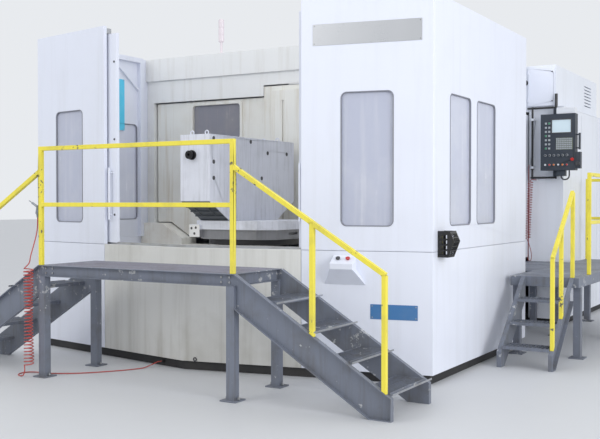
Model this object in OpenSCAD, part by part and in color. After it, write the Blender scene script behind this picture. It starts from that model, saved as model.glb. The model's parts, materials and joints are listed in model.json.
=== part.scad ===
// Horizontal machining center with a two-pallet loading station, its work platforms and air hoses.
// Millimetres. Origin on the floor under the middle of the station's front line, +X right, +Y back.

/* [Loading station] */
// Width of the station across its side walls
house_w = 4680; // [4500:10:4900]
// Depth of the side walls
house_d = 2680; // [2660:5:2720]
// Height of the walls above the floor
house_h = 3380; // [3340:10:3480]
// How far the front comes forward in the middle
front_bulge = 460; // [430:5:500]
// Thickness of the sheet panels with their folded edges
wall = 40; // [30:1:45]
// Height of the skirt's lower edge above the floor
skirt_z = 85; // [60:5:110]
// Height of the sill that parts skirt and walls
sill_z = 1150; // [1120:5:1180]
// Half of the free width between the fixed front panels
opening_half = 1165; // [1120:5:1180]
// Height of the station's deck
deck_z = 1060; // [1000:5:1080]
// Thickness of the black plinth
plinth_t = 60; // [40:5:90]

/* [Windows] */
// Width of a front window
front_window_w = 480; // [400:10:520]
// Width of a side window
side_window_w = 540; // [480:10:580]
// Height of the windows
window_h = 1185; // [1000:5:1250]
// Height of the windows' lower edge
window_z = 1365; // [1300:5:1450]
// Corner radius of the windows
window_r = 55; // [30:5:80]
// Width of the rubber seal round a pane
seal_w = 8; // [6:1:14]
// Thickness of a pane
pane_t = 8; // [5:1:12]
// Distance of a front window's middle from the outer corner
front_window_t = 588; // [520:2:640]
// Depth of the first side window's middle
side_window_y = 658; // [600:2:700]
// Distance between the side windows' middles
side_window_pitch = 704; // [680:2:760]

/* [Load doors] */
// Width of a door leaf
door_w = 1200; // [1150:5:1205]
// Thickness of a door leaf
door_t = 35; // [28:1:40]
// Distance of a door's upper edge below the walls' top
door_drop = 80; // [70:5:180]
// How far the right leaf shows past its panel
right_door_lead = 40; // [34:1:60]
// How far the left leaf shows past its panel
left_door_lead = 130; // [110:1:150]
// Height of the lower end of a door's bar handle
handle_z = 1400; // [1300:10:1500]
// Length of a door's bar handle
handle_len = 530; // [400:10:600]
// Diameter of a door's bar handle
handle_d = 20; // [16:1:24]

/* [Pallet changer] */
// Depth of the changer's axis
changer_y = 1900; // [1880:5:1910]
// Distance from the changer's axis to a pallet's middle
pallet_reach = 1100; // [1080:5:1120]
// Half of the divider's width
divider_half = 2180; // [2100:5:2190]
// Thickness of the divider
divider_t = 60; // [50:2:70]
// Distance of the divider's wide part below the walls' top
divider_drop = 562; // [560:2:680]
// Diameter of the changer's shaft
shaft_d = 300; // [240:5:340]
// Height of the arm's underside
arm_z = 1142; // [1130:1:1150]
// Thickness of the arm
arm_t = 57; // [45:1:60]
// Lift of the arm
arm_lift = 40; // [20:1:45]
// Side of a pallet
pallet_w = 1000; // [900:10:1020]
// Height of a pallet
pallet_h = 190; // [170:2:210]
// Corner chamfer of a pallet
pallet_chamfer = 150; // [100:5:200]

/* [Angle plate] */
// Thickness of the angle plate
plate_t = 360; // [300:5:400]
// Length of the angle plate
plate_len = 1620; // [1400:10:1640]
// Height of the angle plate
plate_h = 860; // [700:10:900]
// Rise of the slope under its ends
plate_cut_h = 199; // [150:1:250]
// Length of the slope under its ends
plate_cut_len = 345; // [300:1:400]

/* [Machine housing] */
// How far the housing stands out beyond the chamber on each side
rear_over = 500; // [480:5:520]
// Depth at which the housing starts
rear_y = 4430; // [4400:5:4450]
// Depth of the housing's back
rear_end_y = 7200; // [7100:10:7400]
// Height of the upper cabinet
cabinet_h = 528; // [510:2:550]
// Half of the chamber's width
chamber_half = 1800; // [1780:5:1820]
// How far the upper cabinet reaches past the chamber
cabinet_over = 400; // [370:5:430]

/* [Machine core] */
// Rest depth of the table's axis
table_y = 3000; // [2990:1:3010]
// Travel of the table
table_travel = 1355; // [1200:5:1360]
// Travel of the column to each side
column_travel = 1030; // [900:10:1040]
// Height of the spindle's axis at rest
spindle_z = 2000; // [1950:10:2020]
// Diameter of the spindle's nose
spindle_d = 220; // [180:2:240]
// Number of pots in the tool magazine
pots = 24; // [12:1:30]

/* [Front platform] */
// Left end of the platform
platform_x = -900; // [-950:5:-850]
// Length of the platform
platform_len = 2134; // [2000:2:2200]
// Front edge of the platform
platform_y = -1400; // [-1450:5:-1380]
// Depth of the platform
platform_d = 750; // [700:5:760]
// Height of the platform
platform_z = 1011; // [950:1:1050]
// Height of the frame's channels
channel_h = 100; // [80:5:120]
// Side of the legs
leg_w = 75; // [60:1:90]
// Length of the stairs along the floor
stairs_run = 1356; // [1300:2:1400]
// Vertical depth of a stringer
stringer_h = 279; // [240:1:300]
// Height of a stringer's end at the foot
foot_h = 167; // [140:1:190]
// Number of treads in the front stairs
treads = 4; // [3:1:5]
// Depth of a tread
tread_d = 250; // [200:5:270]
// Width of the bars in the grating
bar_t = 6; // [5:1:8]
// Pitch of the bars in the grating
bar_pitch = 40; // [36:1:60]

/* [Guard rails] */
// Side of the square rail tube
tube = 38; // [30:1:45]
// Height of the handrail above its deck
rail_h = 1067; // [1000:1:1100]
// Height of the middle rail above its deck
mid_rail_h = 526; // [450:1:580]

/* [Operator platform] */
// Left edge of the operator platform
op_x = 2400; // [2390:5:2450]
// Width of the operator platform
op_w = 700; // [650:5:760]
// Front edge of the operator platform
op_y = 1950; // [1900:5:2000]
// Length of the operator platform
op_len = 3250; // [3000:10:3400]
// Height of the operator platform
op_z = 820; // [800:1:840]
// Length of its stairs along the floor
op_run = 780; // [740:5:820]

/* [Control pendant] */
// Width of the pendant
pendant_w = 430; // [410:2:450]
// Height of the pendant
pendant_h = 702; // [680:1:720]
// Depth of the pendant
pendant_d = 130; // [110:1:150]
// Distance of the pendant's upper edge below the housing's roof
pendant_drop = 122; // [90:1:160]
// Place of the pendant's pivot from left to right
pendant_x = 2220; // [2205:1:2235]

/* [Hidden] */
$fn = 48;
// Gap between pieces that are seated on each other
seat = 0.3;
// Gap between moving and fixed pieces
run_gap = 12;
// Gap of the covers' shadow seams
seam = 4;
// Radial clearance of shafts in their bores
shaft_gap = 0.08;
house_half = house_w / 2;
tilt = atan(front_bulge / house_half);
facet_len = norm([house_half, front_bulge]);
open_t = (house_half - opening_half) / cos(tilt);
slant_y = rear_y - 1180;
door_top_z = house_h - door_drop;
divider_top_z = house_h - divider_drop;
track_in = wall + 15;
door_in = wall + 20;
door_z = sill_z + 15;
groove_h = 8;
return_x = 2200;
return_w = house_half - wall - return_x;
corner_return = wall + 2;
arm_top = arm_z + arm_t;
table_top = arm_z - 0.5;
pallet_z = arm_top + 0.5;
pallet_top = pallet_z + pallet_h;
front_pallet_y = changer_y - pallet_reach;
rear_pallet_y = changer_y + pallet_reach;
hub_half = 413;
cheek_half = 545;
hub_top_z = divider_top_z + 122;
band_z = divider_top_z + run_gap;
band_notch_z = hub_top_z + run_gap + 4;
header_z = house_h - 276;
divider_z = arm_z + 10;
divider_end_z = 1330;
cut_in = 1650;
cut_out = 1950;
plate_z = pallet_top + seat;
platform_right = platform_x + platform_len;
stair_slope = (platform_z - foot_h) / stairs_run;
bed_top = 700;
base_r = 500;
bed_y = changer_y + base_r + seat;
cabinet_top_z = house_h - 52;
rear_h = cabinet_top_z - cabinet_h;
cabinet_half = chamber_half + cabinet_over;
rear_half = chamber_half + rear_over;
op_door_z = op_z + 80;
op_door_h = rear_h - 100 - op_door_z;
magazine_y = 5900;
magazine_z = 1650;
magazine_shaft = 120;
pendant_z = rear_h - pendant_drop - pendant_h;
pendant_post_x = 1918;
pendant_left = pendant_x - 149;
pendant_post_y = rear_y - 60;
pendant_front_y = pendant_post_y - 40 - pendant_d;
post_d = 26;
pin_d = 20;
tube_d = 26;
cabinet_door_w = 340;
e_stop_x = pendant_left + pendant_w - 33;
e_stop_z = pendant_z + 133;
console_t = 785;
console_base_z = 848;
console_lip_z = 993;
console_out = 130;
console_lip_h = 50;
console_top_z = 1110;
saddle_h = 180;
head_y = 5340;
nose_y = 4960;

// Plan points and placing

// Right half of the covers' outline, from the middle of the front to the back
half_outline = [
    [0, -front_bulge], [house_half, 0], [house_half, house_d], [return_x, house_d],
    [chamber_half, slant_y], [chamber_half, rear_y], [rear_half, rear_y], [rear_half, rear_end_y]
];

// Point of the right front facet, t from its outer corner and a depth behind its face
function facet_point(t, depth) = [
    house_half - t * cos(tilt) - depth * sin(tilt),
    -t * sin(tilt) + depth * cos(tilt)
];
// Point on the middle line at a depth behind the front
function apex_point(depth) = [0, -front_bulge + depth / cos(tilt)];
// Point at the front corner behind both walls
function corner_point(depth) =
    [house_half - depth, depth / cos(tilt) - depth * tan(tilt)];
function flip(points) = [for (p = points) [-p.x, p.y]];
function reverse(points) = [for (i = [len(points) - 1:-1:0]) points[i]];
function unit(v) = v / norm(v);
// Inward normal of an edge of an outline that runs counterclockwise
function edge_normal(a, b) = let (u = unit(b - a)) [-u.y, u.x];
// Corner b of an outline, moved inwards by a depth from both of its edges
function inset_corner(a, b, c, depth) =
    let (n = edge_normal(a, b), m = edge_normal(b, c)) b + depth * (n + m) / (1 + n * m);
function inset_outline(points, depth) = [
    for (i = [0:len(points) - 1])
        inset_corner(points[(i + len(points) - 1) % len(points)], points[i],
            points[(i + 1) % len(points)], depth)
];
full_outline = concat(half_outline, reverse(flip([for (i = [1:len(half_outline) - 1]) half_outline[i]])));

module both_sides() {
    children();
    mirror([1, 0, 0]) children();
}

// Local frame on the right facet: x along it towards the middle, y outwards
module on_facet() {
    translate([house_half, 0, 0]) rotate([0, 0, 180 + tilt]) children();
}

module plan(z0, z1) {
    translate([0, 0, z0]) linear_extrude(z1 - z0) children();
}

// Rounded rectangle round its middle, made of exact arcs
module round_rect(w, h, r) {
    square([w, h - 2 * r], center = true);
    square([w - 2 * r, h], center = true);
    for (x = [-1, 1], y = [-1, 1])
        translate([x * (w / 2 - r), y * (h / 2 - r)]) circle(r);
}

// Rounded window prism on a wall in the xz plane, from y0 to y1
module window_prism(w, h, r, y0, y1) {
    translate([0, y1, 0]) rotate([90, 0, 0]) linear_extrude(y1 - y0) round_rect(w, h, r);
}

module at_front_window() {
    on_facet() translate([front_window_t, 0, window_z + window_h / 2]) children();
}

module at_side_windows() {
    for (i = [0, 1])
        translate([house_half, side_window_y + i * side_window_pitch, window_z + window_h / 2])
            rotate([0, 0, 90]) mirror([0, 1, 0]) children();
}

// Station covers

module base_plinth() {
    tie = 120;
    color([0.06, 0.06, 0.07]) {
        plan(0, skirt_z + plinth_t) difference() {
            polygon(inset_outline(full_outline, wall + seat));
            polygon(inset_outline(full_outline, wall + plinth_t));
        }
        // Tie between the front corners
        plan(0, skirt_z / 2) intersection() {
            polygon(inset_outline(full_outline, wall + plinth_t - 1));
            square([house_w, tie], center = true);
        }
        // Beam back to the changer's base
        translate([-tie / 2, 0, 0]) cube([tie, changer_y - base_r - seat, skirt_z / 2]);
        // Socket of the air line
        translate([-house_half, 0, 0]) rotate([0, 0, -tilt])
            translate([(house_half - 300) / cos(tilt), 0, 45])
                rotate([-90, 0, 0]) translate([0, 0, 8]) cylinder(h = wall + 6, d = 34);
    }
}

module side_cover_plan() {
    polygon([
        facet_point(open_t - seam / 2, 0), [house_half, 0], [house_half, house_d],
        [return_x, house_d], [return_x, house_d - wall],
        [house_half - wall, house_d - wall], corner_point(wall),
        facet_point(open_t - seam / 2, wall)
    ]);
}

module skirt_side() {
    difference() {
        plan(skirt_z, sill_z) side_cover_plan();
        // Shadow seam along the upper edge
        translate([0, 0, sill_z - seam]) difference() {
            translate([0, -front_bulge - 10, 0])
                cube([house_half + 10, house_d + front_bulge + 20, seam + 1]);
            plan(-1, seam + 2) polygon([
                apex_point(seam), corner_point(seam), [house_half - seam, house_d + 20], [0, house_d + 20]
            ]);
        }
    }
}

module right_skirt() {
    color([0.90, 0.91, 0.95]) skirt_side();
}

module left_skirt() {
    color([0.88, 0.89, 0.93]) mirror([1, 0, 0]) skirt_side();
}

module center_skirt() {
    color([0.84, 0.84, 0.84]) plan(skirt_z, sill_z) polygon(concat(
        [facet_point(open_t + seam / 2, 0), apex_point(0)],
        flip([facet_point(open_t + seam / 2, 0), facet_point(open_t + seam / 2, wall)]),
        [apex_point(wall), facet_point(open_t + seam / 2, wall)]
    ));
}

module front_panel() {
    difference() {
        plan(sill_z + seat, house_h) polygon([
            facet_point(open_t, 0), [house_half, 0], [house_half, corner_return],
            [house_half - wall, corner_return], corner_point(wall), facet_point(open_t, wall)
        ]);
        at_front_window() window_prism(front_window_w, window_h, window_r, -wall - 2, 2);
    }
}

module right_front_panel() {
    color([0.90, 0.92, 0.98]) front_panel();
}

module left_front_panel() {
    color([0.87, 0.89, 0.96]) mirror([1, 0, 0]) front_panel();
}

module side_wall() {
    difference() {
        plan(sill_z + seat, house_h) polygon([
            [house_half - wall, corner_return + seat], [house_half, corner_return + seat],
            [house_half, house_d], [return_x, house_d], [return_x, house_d - wall],
            [house_half - wall, house_d - wall]
        ]);
        at_side_windows() window_prism(side_window_w, window_h, window_r, -wall - 2, 2);
    }
    // Inner frame post, upper rail and brace
    translate([house_half - wall - 50, changer_y - 261, sill_z + seat])
        cube([50, 60, house_h - sill_z - seat]);
    translate([house_half - wall - 50, 1130, house_h - 60]) cube([50, changer_y - 1386, 60]);
    translate([house_half - wall - 30, 1150, house_h - 70]) rotate([-35, 0, 0]) cube([30, 620, 30]);
}

module right_side_wall() {
    color([0.92, 0.94, 0.99]) side_wall();
}

module left_side_wall() {
    color([0.92, 0.94, 0.99]) mirror([1, 0, 0]) side_wall();
}

module window_ring(w) {
    difference() {
        window_prism(w - 2 * seat, window_h - 2 * seat, window_r - seat, -wall - 3, 3);
        window_prism(w - 2 * seal_w, window_h - 2 * seal_w, window_r - seal_w, -wall - 5, 5);
    }
}

module window_pane(w) {
    gap = seal_w + seat;
    y = -(wall + pane_t) / 2;
    window_prism(w - 2 * gap, window_h - 2 * gap, window_r - gap, y, y + pane_t);
}

module window_seals() {
    color([0.35, 0.36, 0.40]) both_sides() {
        at_front_window() window_ring(front_window_w);
        at_side_windows() window_ring(side_window_w);
    }
}

module station_windows() {
    color([0.72, 0.74, 0.82, 0.6]) both_sides() {
        at_front_window() window_pane(front_window_w);
        at_side_windows() window_pane(side_window_w);
    }
}

// Wedge guard at the foot of a portal post
module post_guard() {
    translate([0, changer_y + 100, 0]) rotate([90, 0, 0]) linear_extrude(300) polygon([
        [cut_in + 10, deck_z], [house_half - wall - seat, deck_z],
        [house_half - wall - seat, divider_end_z - run_gap],
        [cut_out + 15, divider_end_z - run_gap], [cut_in + 10, divider_z - run_gap]
    ]);
}

module station_deck() {
    inset = wall + seat;
    color([0.86, 0.86, 0.83]) {
        difference() {
            plan(deck_z - 30, deck_z) polygon(concat(
                [apex_point(inset), corner_point(inset), [house_half - inset, changer_y + 100]],
                flip([[house_half - inset, changer_y + 100], corner_point(inset)])
            ));
            translate([0, changer_y, deck_z - 40]) cylinder(h = 60, d = 700);
        }
        both_sides() post_guard();
    }
}

module track_plan(t0, t1) {
    polygon([
        facet_point(t0, track_in), facet_point(t1, track_in),
        facet_point(t1, track_in + 45), facet_point(t0, track_in + 45)
    ]);
}

module door_tracks() {
    upper_end = open_t - 5;
    color([0.75, 0.76, 0.78]) both_sides() {
        // Lower rail on its upright plate
        plan(deck_z + seat, sill_z) polygon([
            facet_point(30, track_in), facet_point(facet_len, track_in), apex_point(track_in),
            apex_point(track_in + 45), facet_point(30, track_in + 45)
        ]);
        plan(sill_z - 1, door_z + groove_h - seat) polygon([
            facet_point(30, track_in + 17), apex_point(track_in + 17),
            apex_point(track_in + 28), facet_point(30, track_in + 28)
        ]);
        // Upper guide behind the fixed panel
        plan(door_top_z + 6, door_top_z + 60) track_plan(30, upper_end);
        plan(door_top_z + 6, door_top_z + 60) polygon([
            facet_point(60, wall + seat), facet_point(upper_end, wall + seat),
            facet_point(upper_end, track_in + 1), facet_point(60, track_in + 1)
        ]);
    }
}

// Door leaf with its bar handle, t0 at its trailing edge
module load_door(lead, handle_back) {
    t0 = open_t + lead - door_w;
    t1 = open_t + lead;
    height = door_top_z - door_z;
    on_facet() {
        difference() {
            translate([t0, -door_in - door_t, door_z]) cube([door_w, door_t, height]);
            // Shallow pan on the inner side between the stiffening edges
            for (i = [0, 1])
                translate([t0 + 60, -door_in - door_t - 1, door_z + 60 + i * (height / 2 - 15)])
                    cube([door_w - 120, door_t - 8, height / 2 - 105]);
            // Groove over the lower rail
            translate([t0 - 1, -door_in - door_t + 8, door_z - 1]) cube([door_w + 2, 19, groove_h + 1]);
        }
        translate([t1 - handle_back, -door_in + 38, handle_z]) cylinder(h = handle_len, d = handle_d);
        for (z = [handle_z + 50, handle_z + handle_len - 50])
            translate([t1 - handle_back, -door_in - 5, z]) rotate([-90, 0, 0]) cylinder(h = 43, d = 12);
    }
}

module right_load_door() {
    color([0.89, 0.91, 0.96]) load_door(right_door_lead, 18);
}

module left_load_door() {
    color([0.89, 0.91, 0.96]) mirror([1, 0, 0]) load_door(left_door_lead, 80);
}

// Portal and pallet changer

module portal_beam() {
    inner = house_half - wall - seat;
    post_in = divider_half + run_gap;
    color([0.86, 0.87, 0.84]) {
        // Hollow box beam across the station
        translate([0, changer_y, 0]) difference() {
            translate([-inner, -100, header_z]) cube([2 * inner, 200, house_h - header_z]);
            translate([-inner - 1, -94, header_z + 6]) cube([2 * inner + 2, 188, house_h - header_z - 12]);
        }
        // Lower band with its raised middle
        translate([0, changer_y - 40, 0]) rotate([90, 0, 0]) linear_extrude(30) polygon([
            [-inner, header_z + 1], [-inner, band_z], [-cheek_half - 4, band_z],
            [-cheek_half - 4, band_notch_z], [cheek_half + 4, band_notch_z],
            [cheek_half + 4, band_z], [inner, band_z], [inner, header_z + 1]
        ]);
        both_sides() translate([post_in, changer_y - 70, divider_end_z - run_gap + seat])
            cube([inner - post_in, 140, header_z + 1 + run_gap - seat - divider_end_z]);
    }
}

module at_divider_windows() {
    for (x = [-1, 1]) translate([x * 1256, changer_y, divider_top_z - 259]) children();
}

module divider_panel() {
    slot_top = arm_top + arm_lift + 20;
    color([0.86, 0.86, 0.82]) {
        difference() {
            union() {
                translate([0, changer_y + divider_t / 2, 0]) rotate([90, 0, 0])
                    linear_extrude(divider_t) polygon([
                        [-divider_half + 25, divider_end_z], [-cut_out, divider_end_z],
                        [-cut_in, divider_z], [cut_in, divider_z], [cut_out, divider_end_z],
                        [divider_half - 25, divider_end_z], [divider_half - 25, divider_top_z],
                        [cheek_half, divider_top_z], [cheek_half, hub_top_z],
                        [-cheek_half, hub_top_z], [-cheek_half, divider_top_z],
                        [-divider_half + 25, divider_top_z]
                    ]);
                // Round rubber ends
                for (x = [-1, 1]) translate([x * (divider_half - 25), changer_y, divider_end_z])
                    cylinder(h = divider_top_z - divider_end_z, r = 25);
                // Cheeks and pivot column
                translate([-cheek_half, changer_y - 60, slot_top])
                    cube([2 * cheek_half, 120, hub_top_z - slot_top]);
                translate([-hub_half, changer_y - 120, slot_top])
                    cube([2 * hub_half, 240, hub_top_z - 60 - slot_top]);
                // Raised window frames
                at_divider_windows() window_prism(780, 496, 60, -divider_t / 2 - 12, divider_t / 2 + 12);
            }
            at_divider_windows() window_prism(702, 418, 40, -100, 100);
            // Slot for the arm
            translate([-500, changer_y - 200, arm_z - 20]) cube([1000, 400, slot_top - arm_z + 20]);
            // Grooves of the pivot column
            for (x = [-250, 250], y = [-121, 101])
                translate([x - 12, changer_y + y, slot_top + 60])
                    cube([24, 20, hub_top_z - 240 - slot_top]);
        }
        translate([0, changer_y, bed_top]) cylinder(h = slot_top - bed_top + 20, d = shaft_d, $fn = 96);
    }
}

module divider_windows() {
    color([0.30, 0.31, 0.34, 0.7]) at_divider_windows()
        window_prism(702 - 2 * seat, 418 - 2 * seat, 40 - seat, -pane_t / 2, pane_t / 2);
}

module changer_base() {
    color([0.35, 0.37, 0.40]) difference() {
        translate([0, changer_y, 0]) union() {
            cylinder(h = 60, r = base_r);
            cylinder(h = deck_z - 120, d = 560);
            cylinder(h = arm_z - 0.5, d = 420);
            for (a = [45:90:315]) rotate([0, 0, a]) translate([200, -20, 0]) cube([250, 40, 500]);
        }
        translate([0, changer_y, bed_top - 0.5])
            cylinder(h = arm_z, d = shaft_d + 2 * shaft_gap, $fn = 96);
    }
}

module changer_arm() {
    color([0.10, 0.10, 0.11]) translate([0, changer_y, arm_z]) difference() {
        union() {
            cylinder(h = arm_t, d = 840);
            for (y = [-1, 1]) {
                translate([0, y * pallet_reach, 0]) cylinder(h = arm_t, d = 960, $fn = 96);
                translate([-250, y > 0 ? 0 : -pallet_reach, 0]) cube([500, pallet_reach, arm_t - 12]);
            }
        }
        for (y = [-1, 1]) translate([0, y * pallet_reach, -1]) cylinder(h = arm_t + 2, d = 640, $fn = 96);
        translate([0, 0, -1]) cylinder(h = arm_t + 2, d = shaft_d + 2 * shaft_gap, $fn = 96);
    }
}

module octagon(w, chamfer) {
    h = w / 2;
    c = h - chamfer;
    polygon([[c, -h], [h, -c], [h, c], [c, h], [-c, h], [-h, c], [-h, -c], [-c, -h]]);
}

// Pallet with its tapped holes, ring guide below and edge locator at one corner
module pallet(y, locator) {
    hole_pitch = 160;
    plate = 90;
    translate([0, y, pallet_z]) difference() {
        union() {
            translate([0, 0, pallet_h - plate]) linear_extrude(plate) octagon(pallet_w, pallet_chamfer);
            linear_extrude(pallet_h - plate + 1) octagon(pallet_w - 60, pallet_chamfer);
            if (locator)
                translate([-pallet_w / 2 + 40, -pallet_w / 2 - 30, 20]) difference() {
                    cube([130, 62, 130]);
                    for (p = [[35, 95], [95, 95], [65, 40]])
                        translate([p.x, -1, p.y]) rotate([-90, 0, 0]) cylinder(h = 30, d = 22);
                }
        }
        for (i = [-2.5:1:2.5], j = [-2.5:1:2.5])
            translate([i * hole_pitch, j * hole_pitch, pallet_h - 45]) cylinder(h = 46, d = 21, $fn = 24);
        // Clamp slot along the right flank
        translate([pallet_w / 2 - 60, -90, 45]) cube([80, 180, 24]);
    }
}

module front_pallet() {
    color([0.62, 0.65, 0.68]) pallet(front_pallet_y, true);
}

module rear_pallet() {
    color([0.62, 0.65, 0.68]) pallet(rear_pallet_y, false);
}

module angle_plate() {
    half = plate_len / 2;
    // Tapped holes as [distance from the front end, height above the pallet]
    face_holes = [[68, 820], [68, 588], [68, 428], [732, 820], [945, 442], [1064, 716], [1460, 721]];
    color([0.66, 0.69, 0.72]) translate([0, front_pallet_y, plate_z]) difference() {
        union() {
            rotate([90, 0, -90]) linear_extrude(plate_t) polygon([
                [-half + plate_cut_len, 0], [half - plate_cut_len, 0], [half, plate_cut_h],
                [half, plate_h], [-half, plate_h], [-half, plate_cut_h]
            ]);
            // Lifting eyes on the top face
            for (y = [-half + 120, half - 160], x = [-300, -120])
                translate([x, y, plate_h + 24]) rotate([90, 0, 0])
                    rotate_extrude($fn = 24) translate([20, 0]) circle(6, $fn = 16);
            for (y = [-half + 120, half - 160], x = [-300, -120])
                translate([x, y, plate_h - 1]) cylinder(h = 8, d = 30, $fn = 24);
        }
        for (p = face_holes)
            translate([1, p.x - half, p.y]) rotate([0, -90, 0]) cylinder(h = 51, d = 34, $fn = 24);
        translate([-210, -half - 1, plate_h - 204]) rotate([-90, 0, 0]) cylinder(h = 61, d = 50);
        // Relief cuts under both ends
        for (s = [-1, 1]) translate([-plate_t / 2, s * (half - 150), plate_cut_h - 40])
            cylinder(h = 140, d = 60, center = true);
    }
}

module hoist_pin() {
    z = plate_z + plate_h - 204;
    color([0.08, 0.08, 0.09])
        translate([-210, front_pallet_y - plate_len / 2, z]) rotate([90, 0, 0]) difference() {
            union() {
                translate([0, 0, -55]) cylinder(h = 56 + seat, d = 50 - 2 * seat);
                translate([0, 0, seat]) cylinder(h = 22, d = 96);
                translate([0, 0, seat]) cylinder(h = 56, d = 52);
                translate([0, 0, 44]) cylinder(h = 22, d = 84);
            }
            translate([0, 0, 40]) cylinder(h = 30, d = 30, $fn = 6);
        }
}

// Machining chamber and housing

module chamber_wall_plan() {
    outer = [[return_x, house_d + seat], [chamber_half, slant_y], [chamber_half, rear_y - seat]];
    inner = [
        [return_x - wall / 2, house_d + seat],
        inset_corner(outer[0], outer[1], outer[2], wall),
        [chamber_half - wall, rear_y - seat]
    ];
    polygon(concat(outer, reverse(inner)));
}

module right_chamber_wall() {
    color([0.88, 0.90, 0.92]) difference() {
        plan(skirt_z, house_h - wall) chamber_wall_plan();
        translate([chamber_half - wall - 1, rear_y - 1030, op_door_z + 50])
            cube([wall + 2, 930, op_door_h - 100]);
    }
    // Runner under the operator door
    color([0.70, 0.72, 0.74]) translate([chamber_half - 1, rear_y - 1080, op_door_z - 30 - seat])
        cube([53, 1080 - seat, 30]);
}

module left_chamber_wall() {
    side = house_half - wall - seat;
    roof = [
        [side, changer_y + 100 + seat], [side, house_d - wall - seat],
        [return_x - seat, house_d - wall - seat], [return_x - seat, house_d],
        [chamber_half, slant_y], [chamber_half, rear_y - seat]
    ];
    color([0.88, 0.90, 0.92]) {
        mirror([1, 0, 0]) plan(skirt_z, house_h - wall) chamber_wall_plan();
        // Roof over the chamber in one piece with the wall
        plan(house_h - wall + seat, house_h) polygon(concat(roof, reverse(flip(roof))));
        mirror([1, 0, 0]) translate([chamber_half - wall, slant_y + 30, house_h - wall - 1])
            cube([wall, rear_y - slant_y - 31, wall / 2]);
    }
}

module rear_housing() {
    slot = chamber_half + 56;
    roof = 12;
    wall_top = rear_h - roof - seat;
    in = wall + seat;
    open_half = cabinet_half - 100;
    open_y = rear_y + wall + 20;
    open_end_y = open_y + 2100;
    color([0.90, 0.91, 0.93]) difference() {
        union() {
            difference() {
                translate([-rear_half, rear_y, skirt_z])
                    cube([2 * rear_half, rear_end_y - rear_y, wall_top - skirt_z]);
                translate([-rear_half + wall, rear_y + wall, 0])
                    cube([2 * (rear_half - wall), rear_end_y - rear_y - 2 * wall, rear_h]);
            }
            // Service door frames on the back
            for (x = [-1500, -500, 500, 1500])
                translate([x - 440, rear_end_y - 1, 300]) cube([880, 7, rear_h - 500]);
        }
        // Way into the chamber and slot of the operator door
        translate([-chamber_half + wall, rear_y - 1, skirt_z - 1])
            cube([slot + chamber_half - wall, wall + 2, rear_h]);
        // Panel seams of the flanks
        for (x = [-1, 1], y = [rear_y + 920, rear_y + 1840])
            translate([x * rear_half - seam / 2, y, skirt_z + 60])
                cube([seam, seam, rear_h - skirt_z - 120]);
        // Ventilation slots on the back
        for (x = [-1500, 1500], i = [0:9])
            translate([x - 250, rear_end_y - wall - 1, 500 + i * 45]) cube([500, wall + 10, 14]);
    }
    // Header over the way in, and roof panels round the opening under the upper cabinet
    color([0.90, 0.91, 0.93]) {
        translate([in - chamber_half, rear_y, rear_h - 60])
            cube([slot + chamber_half - in - seat, wall, 60 - roof - seat]);
        for (y = [[rear_y, open_y], [open_end_y, rear_end_y]])
            translate([-rear_half, y[0], rear_h - roof]) cube([2 * rear_half, y[1] - y[0], roof]);
        for (x = [-rear_half, open_half]) translate([x, open_y + seat, rear_h - roof])
            cube([rear_half - open_half, open_end_y - open_y - 2 * seat, roof]);
    }
    // Axle of the tool magazine
    color([0.60, 0.62, 0.64]) translate([wall / 2 - rear_half, magazine_y, magazine_z])
        rotate([0, 90, 0]) cylinder(h = 440, d = magazine_shaft, $fn = 96);
    // Brackets of the pendant's post
    color([0.12, 0.12, 0.13]) for (z = [pendant_z + 30, pendant_z + pendant_h - 60]) difference() {
        union() {
            translate([pendant_post_x, pendant_post_y, z]) cylinder(h = 30, d = 50);
            translate([pendant_post_x - 25, pendant_post_y, z]) cube([50, rear_y + 1 - pendant_post_y, 30]);
        }
        translate([pendant_post_x, pendant_post_y, z - 1])
            cylinder(h = 32, d = post_d + 2 * shaft_gap, $fn = 96);
    }
    // Nipples of the side hose
    color([0.60, 0.50, 0.25]) for (p = [side_supply[0], side_end[len(side_end) - 1]])
        translate([p.x, p.y + seat, p.z]) rotate([-90, 0, 0]) cylinder(h = rear_y + 1 - p.y - seat, d = 26);
}

module upper_cabinet() {
    z0 = rear_h + seat;
    depth = 2240;
    color([0.91, 0.92, 0.94]) difference() {
        translate([-cabinet_half, rear_y, z0]) cube([2 * cabinet_half, depth, cabinet_top_z - z0]);
        translate([-cabinet_half + wall, rear_y + wall, z0 - 1])
            cube([2 * (cabinet_half - wall), depth - 2 * wall, cabinet_top_z - z0 - wall + 1]);
        // Doorway behind the cabinet door
        translate([cabinet_half + 20 - cabinet_door_w, rear_y - 1, z0 + 60])
            cube([cabinet_door_w - 70, wall + 2, cabinet_top_z - z0 - 120]);
        // Louvres on the flanks
        for (x = [-1, 1], i = [0:6])
            translate([x * (cabinet_half - wall / 2) - wall, rear_y + 1500, z0 + 130 + i * 45])
                cube([2 * wall, 400, 14]);
    }
}

module cabinet_door() {
    z0 = rear_h + 8;
    color([0.92, 0.93, 0.96]) {
        translate([cabinet_half - 10 - cabinet_door_w, rear_y - 24, z0])
            cube([cabinet_door_w, 24 - seat, cabinet_top_z - z0 - 30]);
        // Quarter-turn locks
        for (z = [z0 + 60, cabinet_top_z - 90]) translate([cabinet_half - 40, rear_y - 23, z])
            rotate([90, 0, 0]) cylinder(h = 6, d = 26);
        for (z = [z0 + 60, cabinet_top_z - 110])
            translate([cabinet_half - 10 - cabinet_door_w, rear_y - 24, z]) cylinder(h = 50, d = 20);
    }
}

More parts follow.
